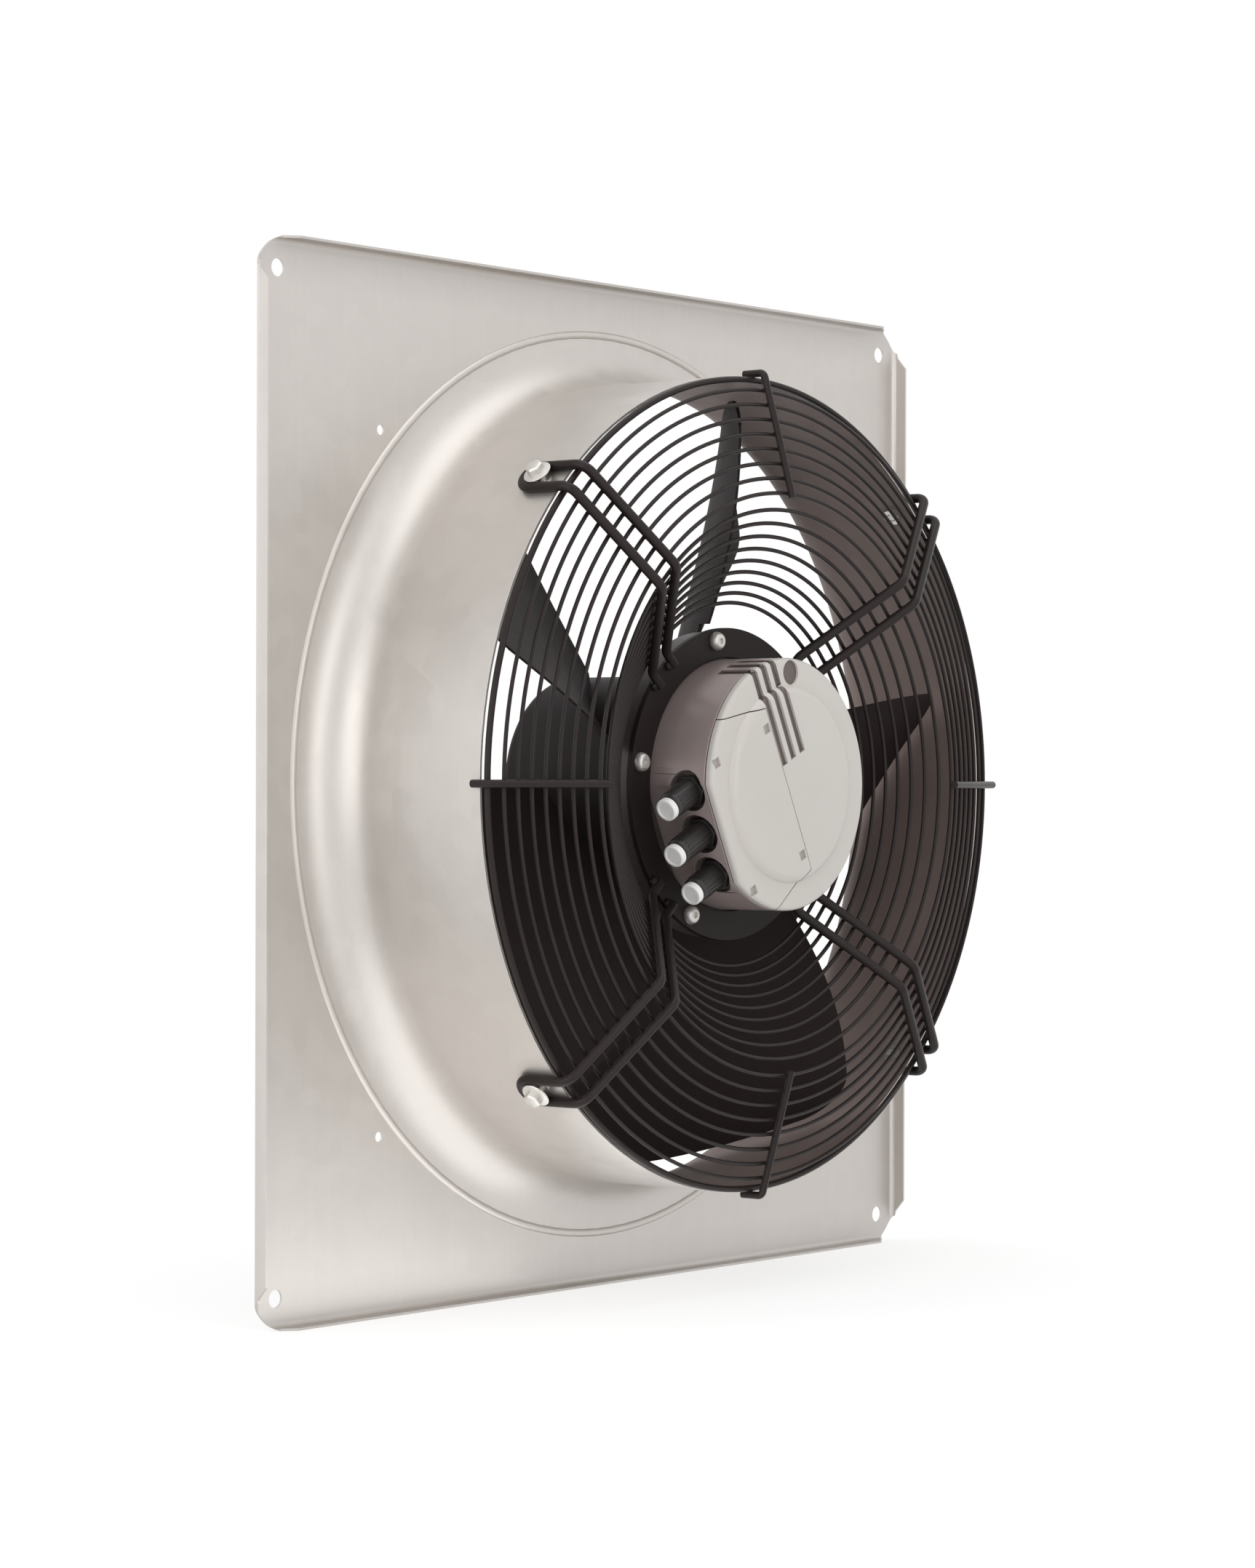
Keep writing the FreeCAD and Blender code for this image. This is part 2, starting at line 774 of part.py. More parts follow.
def guard_stiffeners():
    """Straight rods over the outer slope, hooked over the outer ring."""
    lift = (s.stiffener_rod / 2 + s.ring_wire / 2 + 3 * s.weld_gap) * outer_slope
    hook = outer_ring_radius + s.outer_ring_wire / 2 + s.stiffener_rod / 2 + s.weld_gap
    hook_end = s.nozzle_front + s.outer_ring_lift - s.stiffener_hook
    inner_end = s.dish_radius + s.stiffener_rod / 2
    corners = [
        at(hook, hook_end),
        at(hook, outer_slope_height(hook) + lift),
        at(inner_end, outer_slope_height(inner_end) + lift),
    ]
    rod = bent_rod(corners, float(s.stiffener_bend), float(s.stiffener_rod))
    for index, name in enumerate(STIFFENER_NAMES):
        shaped(f"{name}_guard_stiffener", rod, index * 360 / len(STIFFENER_NAMES))


def head_corners(seat, radius, height, chamfer, way=1):
    """Corners of a chamfered screw head on its seat, as distance along and radius; way -1 points it back."""
    top = seat + way * height
    return [(seat, radius), (top - way * chamfer, radius), (top, radius - chamfer), (top, 0)]


def guard_fasteners():
    """Flange-headed screws over the arms' loops, and the rivet nuts that take them."""
    seat = leg_radius + s.arm_rod / 2 + s.weld_gap
    head = seat + s.guard_screw_flange_height
    inside = s.throat_radius - s.rivet_nut_reach
    shank = s.guard_screw_shank / 2
    screws = new_body("guard_screws", s.arm_angle)
    screw = turned_outwards(screws, guard_screw_height, [
        (inside, 0), (inside, shank), (seat, shank),
        (seat, s.guard_screw_flange / 2), (head, s.guard_screw_flange / 2 - s.guard_screw_flange_height / 2),
        *head_corners(head, s.guard_screw_head / 2, s.guard_screw_head_height, s.guard_screw_chamfer),
    ])
    ring_of(screws, [screw], len(ARM_NAMES))
    nuts = new_body("guard_rivet_nuts", s.arm_angle)
    flange_seat = wall_radius + s.weld_gap
    bulge_seat = (s.throat_radius * s.throat_radius - s.rivet_nut_flange * s.rivet_nut_flange / 4).root()
    hole = shank + s.press_gap
    nut = turned_outwards(nuts, guard_screw_height, [
        (inside, hole), (inside, s.rivet_nut_flange / 2), (bulge_seat - s.weld_gap, s.rivet_nut_flange / 2),
        (bulge_seat - s.weld_gap, s.rivet_nut_body / 2), (flange_seat, s.rivet_nut_body / 2),
        (flange_seat, s.rivet_nut_flange / 2),
        (flange_seat + s.rivet_nut_flange_height, s.rivet_nut_flange / 2),
        (flange_seat + s.rivet_nut_flange_height, hole),
    ])
    ring_of(nuts, [nut], len(ARM_NAMES))


# Flange ring and motor flange

def flange_ring():
    ring = new_body("flange_ring", s.motor_turn + s.flange_screw_angle)
    turned(ring, [
        (flange_inner, s.flange_height), (flange_outer, s.flange_height),
        (flange_outer, flange_front), (flange_inner, flange_front),
    ])
    holes = new_sketch(ring, "XZ_Plane", flange_front)
    circle(holes, flange_screw_circle, 0, s.flange_screw_shank + 2 * s.hole_gap)
    ring_of(ring, [cut(ring, holes)], s.flange_screw_count)

    screws = new_body("flange_screws", s.motor_turn + s.flange_screw_angle)
    shank = s.flange_screw_shank / 2
    end = motor_flange_back + s.hole_gap
    head = head_corners(flange_front, s.flange_screw_head / 2, s.flange_screw_head_height,
                        s.flange_screw_chamfer)
    screw = turned_at(screws, flange_screw_circle, [
        (0, end), (shank, end), (shank, flange_front), *[(radius, height) for height, radius in head],
    ])
    ring_of(screws, [screw], s.flange_screw_count)


def motor_flange():
    """Cast disc with a short skirt that carries the stator and, in its tube, the bearings."""
    body = new_body("motor_flange", s.motor_turn)
    shoulder = seat_radius - s.bearing_shoulder
    rim = flange_outer - s.motor_flange_inset
    groove = seat_radius + s.circlip_depth
    groove_back = rear_bearing_back - s.circlip_width - s.press_gap
    spring_seat = rear_bearing_front + s.spring_height
    turned(body, [
        (seat_radius, s.flange_height), (rim, s.flange_height), (rim, skirt_back),
        (rim - s.skirt_wall, skirt_back), (rim - s.skirt_wall, motor_flange_back),
        (tube_outer, motor_flange_back), (tube_outer, tube_back), (seat_radius, tube_back),
        (seat_radius, groove_back), (groove, groove_back), (groove, rear_bearing_back),
        (seat_radius, rear_bearing_back),
        (seat_radius, spring_seat), (shoulder, spring_seat),
        (shoulder, front_bearing_back), (seat_radius, front_bearing_back),
    ])
    lead = new_sketch(body, "XZ_Plane", s.flange_height)
    circle(lead, s.lead_circle, 0, s.lead_hole)
    cut(body, lead)
    tapped = new_sketch(body, "XZ_Plane", s.flange_height)
    turn_sketch(tapped, s.flange_screw_angle)
    circle(tapped, flange_screw_circle, 0, s.flange_screw_shank + 2 * s.press_gap)
    ring_of(body, [cut(body, tapped)], s.flange_screw_count)


# Stator

def stator():
    core = new_body("stator_core", s.motor_turn)
    turned(core, [
        (core_inner, core_back), (yoke_outer, core_back), (yoke_outer, core_front), (core_inner, core_front),
    ])
    shoe_inner = core_outer - s.shoe_thickness
    tooth_sketch = new_sketch(core, "XZ_Plane", core_back)
    rectangle(tooth_sketch, (yoke_outer - s.yoke / 2, -s.tooth_width / 2),
              (core_outer - s.shoe_thickness / 2, s.tooth_width / 2))
    tooth = pad(core, tooth_sketch, core_front - core_back)
    shoe = turned(core, [
        (shoe_inner, core_back), (core_outer, core_back), (core_outer, core_front), (shoe_inner, core_front),
    ], s.shoe_angle)
    ring_of(core, [tooth, shoe], s.tooth_count)

    coils = new_body("stator_coils", s.motor_turn)
    slot = s.tooth_width / 2 + s.hole_gap
    side = slot + s.coil_side
    coil_sketch = new_sketch(coils, "YZ_Plane", yoke_outer + s.coil_root_gap)
    rectangle(coil_sketch, (-coil_front, -side), (-core_back + s.coil_overhang, side))
    rectangle(coil_sketch, (-core_front - s.hole_gap, -slot), (-core_back + s.hole_gap, slot))
    coil = pad(coils, coil_sketch, s.tooth_length - s.shoe_thickness - 2 * s.coil_root_gap)
    ring_of(coils, [coil], s.tooth_count)

    leads = new_body("winding_leads", s.motor_turn)
    lead_row = (s.lead_count - 1) * s.lead_pitch
    lead = turned_at(leads, s.lead_circle, [
        (0, coil_front), (s.lead_wire / 2, coil_front), (s.lead_wire / 2, board_back), (0, board_back),
    ], -lead_row / 2)
    row_of(leads, [lead], s.lead_count, lead_row)


# Bearings

def bearing(name, back):
    """Deep-groove ball bearing: two races, balls and a cage with a pocket for each ball."""
    front = back + s.bearing_width
    middle = back + s.bearing_width / 2
    pitch = shaft_radius + s.bearing_section / 2
    inner_land = pitch - s.race_gap / 2
    outer_land = pitch + s.race_gap / 2
    groove = s.ball / 2 + s.ball_gap
    reach = (groove * groove - s.race_gap * s.race_gap / 4).root()
    bore = shaft_radius + s.press_gap
    turned(new_body(f"{name}_bearing_inner_race"), [
        (bore, back), (inner_land, back), (inner_land, middle - reach, groove, -1),
        (inner_land, middle + reach), (inner_land, front), (bore, front),
    ])
    turned(new_body(f"{name}_bearing_outer_race"), [
        (outer_land, back), (bearing_outer, back), (bearing_outer, front), (outer_land, front),
        (outer_land, middle + reach, groove, -1), (outer_land, middle - reach),
    ])
    balls = new_body(f"{name}_bearing_balls")
    ball = balls.newObject("PartDesign::AdditiveSphere", "ball")
    ball.setExpression("Radius", (s.ball / 2).text)
    ball.setExpression("AttachmentOffset.Base.x", pitch.text)
    ball.setExpression("AttachmentOffset.Base.y", (-middle).text)
    ball.AttachmentSupport = [(origin_part(balls, "XY_Plane"), "")]
    ball.MapMode = "FlatFace"
    ring_of(balls, [ball], s.ball_count)
    cage = new_body(f"{name}_bearing_cage")
    half = s.cage_thickness / 2
    turned(cage, [
        (pitch - half, middle - s.cage_width / 2), (pitch + half, middle - s.cage_width / 2),
        (pitch + half, middle + s.cage_width / 2), (pitch - half, middle + s.cage_width / 2),
    ])
    pocket = new_sketch(cage, "YZ_Plane")
    circle(pocket, -middle, 0, s.ball + 2 * s.ball_gap)
    ring_of(cage, [cut(cage, pocket, outwards=True)], s.ball_count)


def bearing_retainers():
    opening = 360 - s.circlip_opening
    spring = new_body("bearing_spring")
    spring_inner = bearing_outer - s.circlip_height
    spring_front = rear_bearing_front + s.spring_height
    turned(spring, [
        (spring_inner, rear_bearing_front), (bearing_outer, rear_bearing_front),
        (bearing_outer, spring_front), (spring_inner, spring_front),
    ])
    clip = new_body("bearing_circlip")
    clip_outer = seat_radius + s.circlip_depth - s.press_gap
    clip_back = rear_bearing_back - s.circlip_width
    turned(clip, [
        (clip_outer - s.circlip_height, clip_back), (clip_outer, clip_back),
        (clip_outer, rear_bearing_back), (clip_outer - s.circlip_height, rear_bearing_back),
    ], opening)
    shaft_clip = new_body("shaft_circlip")
    clip_inner = shaft_radius - s.circlip_depth + s.press_gap
    clip_front = front_bearing_front + s.circlip_width
    turned(shaft_clip, [
        (clip_inner, front_bearing_front), (clip_inner + s.circlip_height, front_bearing_front),
        (clip_inner + s.circlip_height, clip_front), (clip_inner, clip_front),
    ], opening)


# Rotor and impeller

def rotor():
    shaft_front = front_bearing_front + s.shaft_overhang
    groove = shaft_radius - s.circlip_depth
    groove_front = front_bearing_front + s.circlip_width + s.press_gap
    turned(new_body("rotor_shaft"), [
        (0, can_back), (shaft_radius, can_back), (shaft_radius, front_bearing_front),
        (groove, front_bearing_front), (groove, groove_front), (shaft_radius, groove_front),
        (shaft_radius, shaft_front), (0, shaft_front),
    ])
    can = new_body("rotor_can")
    bore = shaft_radius + s.press_gap
    boss = shaft_radius + s.boss_wall
    collar = shaft_radius + s.collar_wall
    can_round = s.hub_round - s.hub_wall + s.can_round_room
    turned(can, [
        (bore, can_back), (can_outer - can_round, can_back, can_round, 1),
        (can_outer, can_back + can_round), (can_outer, can_front), (can_inner, can_front),
        (can_inner, can_floor_front), (boss, can_floor_front), (boss, boss_front),
        (collar, boss_front), (collar, rear_bearing_back), (bore, rear_bearing_back),
    ])
    tapped = new_sketch(can, "XZ_Plane", can_floor_front)
    circle(tapped, s.hub_screw_circle, 0, s.hub_screw_shank + 2 * s.press_gap)
    ring_of(can, [cut(can, tapped)], s.hub_screw_count)

    magnets = new_body("rotor_magnets")
    magnet_outer = magnet_inner + s.magnet_thickness
    back = core_back - s.magnet_overhang
    front = core_front + s.magnet_overhang
    magnet = turned(magnets, [
        (magnet_inner, back), (magnet_outer, back), (magnet_outer, front), (magnet_inner, front),
    ], 360 / s.magnet_count - s.magnet_spacing)
    ring_of(magnets, [magnet], s.magnet_count)


def impeller_hub():
    hub = new_body("impeller_hub")
    inner = s.hub_radius - s.hub_wall
    inner_round = s.hub_round - s.hub_wall
    turned(hub, [
        (s.hub_bore, hub_back), (s.hub_radius - s.hub_round, hub_back, s.hub_round, 1),
        (s.hub_radius, hub_back + s.hub_round), (s.hub_radius, can_front), (inner, can_front),
        (inner, can_back + inner_round, inner_round, -1), (inner - inner_round, can_back),
        (s.hub_bore, can_back),
    ])
    holes = new_sketch(hub, "XZ_Plane", can_back)
    circle(holes, s.hub_screw_circle, 0, s.hub_screw_shank + 2 * s.hole_gap)
    ring_of(hub, [cut(hub, holes)], s.hub_screw_count)

    screws = new_body("hub_screws")
    shank = s.hub_screw_shank / 2
    head = head_corners(hub_back, s.hub_screw_head / 2, s.hub_screw_head_height, s.hub_screw_chamfer, way=-1)
    screw = turned_at(screws, s.hub_screw_circle, [
        (0, can_floor_front), (shank, can_floor_front), (shank, hub_back),
        *[(radius, height) for height, radius in head],
    ])
    ring_of(screws, [screw], s.hub_screw_count)


def through_three(first, middle, last, share):
    """Value at a share of the way from first to last, on the parabola that passes middle half way."""
    bow = middle - (first + last) / 2
    return first + (last - first) * share + bow * 4 * share * (1 - share)


def blade_line(share):
    """Middle, half chord and pitch of a blade's section at a share of the way out along the blade."""
    root = float(s.hub_radius - s.root_sink)
    station = root + (float(s.throat_radius) - root) * share
    chord = through_three(float(s.root_chord), float(s.middle_chord), float(s.tip_chord), share)
    pitch_angles = (s.root_pitch_angle, s.middle_pitch_angle, s.tip_pitch_angle)
    pitch = through_three(*(float(angle) for angle in pitch_angles), share)
    trail = through_three(float(s.root_trail), float(s.middle_trail), float(s.tip_trail), share)
    setback = through_three(float(s.root_setback), float(s.middle_setback), float(s.tip_setback), share)
    middle = at(station, float(can_front) - setback, -trail)
    pitch = math.radians(pitch)
    along = Vector(0, -math.sin(pitch), math.cos(pitch)) * (chord / 2)
    across = Vector(0, math.cos(pitch), math.sin(pitch))
    return middle, along, across


def blade_section(share):
    """Closed section of a blade across its span: two flat arcs, thin at both edges."""
    middle, along, across = blade_line(share)
    thickness = float(s.root_thickness) + (float(s.tip_thickness) - float(s.root_thickness)) * share
    edge = across * (float(s.blade_edge) / 2)
    crown = middle + across * (float(s.blade_camber) * along.Length * 2)
    skin = across * (thickness / 2)
    rear, front = middle - along, middle + along
    return Part.Wire([
        Part.Arc(rear + edge, crown + skin, front + edge).toShape(),
        Part.LineSegment(front + edge, front - edge).toShape(),
        Part.Arc(front - edge, crown - skin, rear - edge).toShape(),
        Part.LineSegment(rear - edge, rear + edge).toShape(),
    ])


def corner_tool(side, radius, tip, depth):
    """Tool that rounds one outer corner of a blade, where its front or rear edge meets the tip circle."""
    inner, outer = (blade_line(share)[0] + blade_line(share)[1] * side for share in STRAIGHT_EDGE)
    run = outer - inner
    turn = math.atan2(run.z, run.x)
    edge = inner.z * math.cos(turn) - inner.x * math.sin(turn)
    middle = edge - side * radius
    reach = math.sqrt((tip - radius) ** 2 - middle ** 2)
    low = min(middle, middle + 2 * side * radius)
    block = Part.makeBox(2 * radius, 3 * depth, 2 * radius, Vector(reach, -2 * depth, low))
    tool = block.cut(Part.makeCylinder(radius, 3 * depth, Vector(reach, depth, middle), FORWARD))
    tool.rotate(Vector(), FORWARD, math.degrees(turn))
    return tool


def fan_blades():
    """Twisted blades welded to the hub, trimmed to the hub's wall, the tip circle and the motor's skirt."""
    tip = float(s.throat_radius - s.tip_gap)
    depth = float(s.nozzle_front)
    shares = [index / (BLADE_SECTIONS - 1) for index in range(BLADE_SECTIONS)]
    blank = Part.makeLoft([blade_section(share) for share in shares], True, False)
    whole = Vector(0, depth, 0)
    blade = blank.common(Part.makeCylinder(tip, 3 * depth, whole, FORWARD))
    blade = blade.cut(Part.makeCylinder(float(s.hub_radius + s.weld_gap), 3 * depth, whole, FORWARD))
    skirt_clear = Vector(0, float(s.blade_clearance - skirt_back), 0)
    blade = blade.cut(Part.makeCylinder(float(flange_outer + s.blade_clearance), depth, skirt_clear, FORWARD))
    blade = blade.cut(corner_tool(1, float(s.front_corner_round), tip, depth))
    blade = blade.cut(corner_tool(-1, float(s.rear_corner_round), tip, depth))
    for index in range(int(s.blade_count)):
        shaped(f"fan_blade_{index + 1}", blade, s.blade_angle + index * 360 / s.blade_count)


# Electronics housing, glands and covers

def cavity_outline(sketch, gap):
    """Round outline with a flat on the gland side, a gap inside the housing's own cavity."""
    radius = housing_inner - gap
    chord = cavity_chord - gap
    half = (radius * radius - chord * chord).root()
    outline(sketch, [
        (-chord, half), (-chord, -half, radius, 1), (0, -radius, radius, 1), (radius, 0, radius, 1),
        (0, radius, radius, 1),
    ])


def slot_places():
    return [s.slot_first + s.slot_pitch * index for index in range(int(s.slot_count))]


def wall_slots(body, back, front):
    """Grooves down the round wall, in line with the slots of the front cover."""
    for place in slot_places():
        slot = new_sketch(body, "XY_Plane", wall_at(place) - s.slot_depth)
        rectangle(slot, (place - s.slot_width / 2, -front), (place + s.slot_width / 2, -back))
        cut(body, slot, outwards=True)


def gland_side_flat(body, front, face, depth=None):
    """Flat on the gland side of a round piece, at a distance from its middle plane."""
    far = 2 * s.housing_radius
    flat = new_sketch(body, "XZ_Plane", front)
    rectangle(flat, (-far, -far), (-face, far))
    cut(body, flat, depth)


def flat_wall(body, front, face, thickness, height):
    """Straight wall behind the flat of the gland side, as long as the flat is wide."""
    half = (s.housing_radius * s.housing_radius - gland_face * gland_face).root()
    wall = new_sketch(body, "XZ_Plane", front - height)
    rectangle(wall, (-face, -half), (thickness - face, half))
    pad(body, wall, height)


def electronics_housing():
    body = new_body("electronics_housing", s.motor_turn)
    turned(body, [
        (0, s.flange_height), (s.housing_radius, s.flange_height), (s.housing_radius, housing_front),
        (0, housing_front),
    ])
    cavity = new_sketch(body, "XZ_Plane", housing_front)
    cavity_outline(cavity, 0)
    cut(body, cavity, s.housing_length - s.housing_floor)
    lead = new_sketch(body, "XZ_Plane", housing_front)
    circle(lead, s.lead_circle, 0, s.lead_hole)
    cut(body, lead)
    gland_side_flat(body, housing_front, gland_face, s.housing_length)
    for place in gland_places().values():
        recess = new_sketch(body, "YZ_Plane", -gland_seat)
        circle(recess, -gland_height, place, s.gland_recess)
        cut(body, recess)
        bore = new_sketch(body, "YZ_Plane", -s.housing_wall)
        circle(bore, -gland_height, place, s.gland_thread + 2 * s.press_gap)
        cut(body, bore)
    wall_slots(body, rim_front - s.slot_reach, rim_front)


def gland_places():
    return {"upper": s.gland_pitch, "middle": Size.of(0), "lower": -s.gland_pitch}


def cable_glands():
    """Screwed glands in a row on the housing's side, each closed by a plug in its seal."""
    bore = s.gland_bore / 2
    thread = s.gland_thread / 2
    collar_end = gland_seat + s.gland_collar_height
    nut_face = cavity_chord - s.press_gap
    nut_back = nut_face - s.gland_nut_height
    stem = s.plug_stem / 2
    side = s.motor_turn + 180
    nuts = new_body("gland_lock_nuts", side)
    seals = new_body("gland_seals", side)
    for name, place in gland_places().items():
        end = wall_at(place) + s.gland_reach
        turned_outwards(new_body(f"{name}_gland_body", side), gland_height, [
            (cavity_chord - s.gland_tail, bore), (cavity_chord - s.gland_tail, thread), (gland_seat, thread),
            (gland_seat, s.gland_collar / 2), (collar_end, s.gland_collar / 2),
            (collar_end, s.gland_barrel / 2), (end, s.gland_barrel / 2), (end, bore),
        ], -place)
        turned_outwards(nuts, gland_height, [
            (nut_back, thread + s.press_gap), (nut_back, s.gland_nut / 2),
            (nut_face, s.gland_nut / 2), (nut_face, thread + s.press_gap),
        ], -place)
        turned_outwards(seals, gland_height, [
            (end - s.gland_seal_length, stem + s.press_gap), (end - s.gland_seal_length, bore - s.press_gap),
            (end, bore - s.press_gap), (end, stem + s.press_gap),
        ], -place)
        turned_outwards(new_body(f"{name}_gland_plug", side), gland_height, [
            (end - s.plug_stem_length, 0), (end - s.plug_stem_length, stem), (end, stem),
            *head_corners(end, s.plug_head / 2, s.plug_head_height, s.plug_chamfer),
        ], -place)


def cover_blank(label):
    """Shallow lid with a rim and a raised disc."""
    body = new_body(label, s.motor_turn)
    disc_inner = disc_radius - s.cover_wall
    shoulder_round = (s.disc_shoulder * s.disc_shoulder + s.cover_rise * s.cover_rise) / (2 * s.cover_rise)
    turned(body, [
        (0, disc_front - s.cover_wall), (0, disc_front),
        (disc_radius - s.disc_shoulder, disc_front, shoulder_round, -1),
        (disc_radius, rim_front),
        (s.housing_radius - s.cover_round, rim_front, s.cover_round, -1),
        (s.housing_radius, rim_front - s.cover_round),
        (s.housing_radius, cover_back), (housing_inner, cover_back),
        (housing_inner, rim_front - s.cover_wall), (disc_inner, rim_front - s.cover_wall),
        (disc_inner, disc_front - s.cover_wall),
    ])
    return body


def terminal_outline(sketch, grow):
    """Outline of the terminal cover: one straight edge, flaring to the rim on the gland side."""
    edge = grow - s.terminal_edge
    far = -2 * s.housing_radius
    near_half = s.terminal_half + grow
    far_half = near_half + (2 * s.housing_radius - s.terminal_edge) * s.terminal_flare
    outline(sketch, [(edge, near_half), (far, far_half), (far, -far_half), (edge, -near_half)])


def covers():
    seal_outer = s.housing_radius - s.seal_inset
    seal_inner = housing_inner + s.seal_inset
    seal = new_body("cover_seal", s.motor_turn)
    turned(seal, [
        (seal_inner, housing_front), (seal_outer, housing_front),
        (seal_outer, cover_back), (seal_inner, cover_back),
    ])
    seal_face = gland_face - s.seal_inset
    gland_side_flat(seal, cover_back, seal_face)
    flat_wall(seal, cover_back, seal_face, seal_outer - seal_inner, s.seal_thickness)

    front = cover_blank("front_cover")
    opening = new_sketch(front, "XZ_Plane", disc_front)
    terminal_outline(opening, s.cover_gap / 2)
    cut(front, opening)
    reach = 2 * s.housing_radius
    for place in slot_places():
        low, high = place - s.slot_width / 2, place + s.slot_width / 2
        disc_slot = new_sketch(front, "XZ_Plane", disc_front)
        rectangle(disc_slot, (low, s.slot_end), (high, reach))
        cut(front, disc_slot, s.slot_depth)
        rim_slot = new_sketch(front, "XZ_Plane", disc_front)
        rectangle(rim_slot, (low, disc_radius - s.cover_wall / 2), (high, reach))
        cut(front, rim_slot, s.cover_rise + s.slot_depth)
    wall_slots(front, rim_front - s.slot_reach, disc_front)
    access = new_sketch(front, "XZ_Plane", disc_front)
    turn_sketch(access, s.access_angle)
    circle(access, access_circle, 0, s.access_plug + 2 * s.press_gap)
    cut(front, access)
    plug = new_body("access_plug", s.motor_turn + s.access_angle)
    turned_at(plug, access_circle, [
        (0, rim_front - s.cover_wall), (s.access_plug / 2, rim_front - s.cover_wall),
        (s.access_plug / 2, rim_front - s.access_recess), (0, rim_front - s.access_recess),
    ])

    terminal = cover_blank("terminal_cover")
    remainder = new_sketch(terminal, "XZ_Plane", disc_front)
    clear = 3 * s.housing_radius
    rectangle(remainder, (-clear, -clear), (clear, clear))
    terminal_outline(remainder, -s.cover_gap / 2)
    cut(terminal, remainder)
    gland_side_flat(terminal, disc_front, gland_face)
    soft_edge = new_sketch(terminal, "XY_Plane", reach)
    above, below = rim_front + s.cover_round, rim_front - s.cover_round
    outside, inside = -gland_face - s.cover_round, s.cover_round - gland_face
    outline(soft_edge, [
        (-gland_face, -below, s.cover_round, 1), (inside, -rim_front),
        (inside, -above), (outside, -above), (outside, -below),
    ])
    cut(terminal, soft_edge)
    rim_back = rim_front - s.cover_wall
    flat_wall(terminal, rim_back, gland_face, s.housing_wall, s.cover_rim_height - s.cover_wall)
    half = s.clip_window / 2
    on_disc = -s.terminal_edge - s.clip_inset
    on_rim = s.clip_rim_inset - wall_at(s.clip_row)
    for level in (-1, 1):
        for middle, front_face in ((on_disc, disc_front), (on_rim, rim_front)):
            window = new_sketch(terminal, "XZ_Plane", front_face)
            row = level * s.clip_row
            rectangle(window, (middle - half, row - half), (middle + half, row + half))
            cut(terminal, window, s.clip_depth)


def electronics():
    board = new_body("circuit_board", s.motor_turn)
    board_sketch = new_sketch(board, "XZ_Plane", board_back)
    cavity_outline(board_sketch, s.board_gap)
    pad(board, board_sketch, s.board_thickness)
    spacers = new_body("board_spacers", s.motor_turn + s.spacer_angle)
    spacer = turned_at(spacers, housing_inner - s.spacer_inset, [
        (0, floor_front), (s.spacer / 2, floor_front), (s.spacer / 2, board_back), (0, board_back),
    ])
    ring_of(spacers, [spacer], s.spacer_count)
    capacitors = new_body("capacitors", s.motor_turn)
    capacitor_row = (s.capacitor_count - 1) * s.capacitor_pitch
    capacitor = turned_at(capacitors, s.capacitor_place, [
        (0, board_front), (s.capacitor / 2, board_front), (s.capacitor / 2, board_front + s.capacitor_height),
        (0, board_front + s.capacitor_height),
    ], -capacitor_row / 2)
    row_of(capacitors, [capacitor], s.capacitor_count, capacitor_row)
    block = new_body("terminal_block", s.motor_turn)
    block_sketch = new_sketch(block, "XZ_Plane", board_front)
    block_edge = s.gland_tail + s.terminal_block_gap - cavity_chord
    half_length = s.terminal_block_length / 2
    rectangle(block_sketch, (block_edge, -half_length), (block_edge + s.terminal_block_width, half_length))
    pad(block, block_sketch, s.terminal_block_height)


def write_parts():
    doc.recompute()
    failed = [piece.Label for piece in doc.Objects if {"Invalid", "Error"} & set(piece.State)]
    if failed:
        raise RuntimeError("failed: " + ", ".join(failed))
    for piece in pieces:
        if piece.Shape.isNull() or not piece.Shape.isValid() or not piece.Shape.Solids:
            raise RuntimeError(f"{piece.Label} has no valid shape")
    os.makedirs("parts", exist_ok=True)
    for piece in pieces:
        piece.Shape.exportStep(f"parts/{piece.Label}.step")


wall_plate()
guard_arms()
guard_rings()
guard_stiffeners()
guard_fasteners()
flange_ring()
motor_flange()
stator()
bearing("front", front_bearing_back)
bearing("rear", rear_bearing_back)
bearing_retainers()
rotor()
impeller_hub()
fan_blades()
electronics_housing()
cable_glands()
covers()
electronics()
write_parts()
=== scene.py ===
"""Looks of an axial wall fan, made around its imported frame.

Everything lies in the frame's own coordinates, in metres: the fan's axis is Y, the motor side is -Y and
+Z is up.
"""

import math

import bmesh
import bpy
import numpy as np
from mathutils import Matrix, Vector


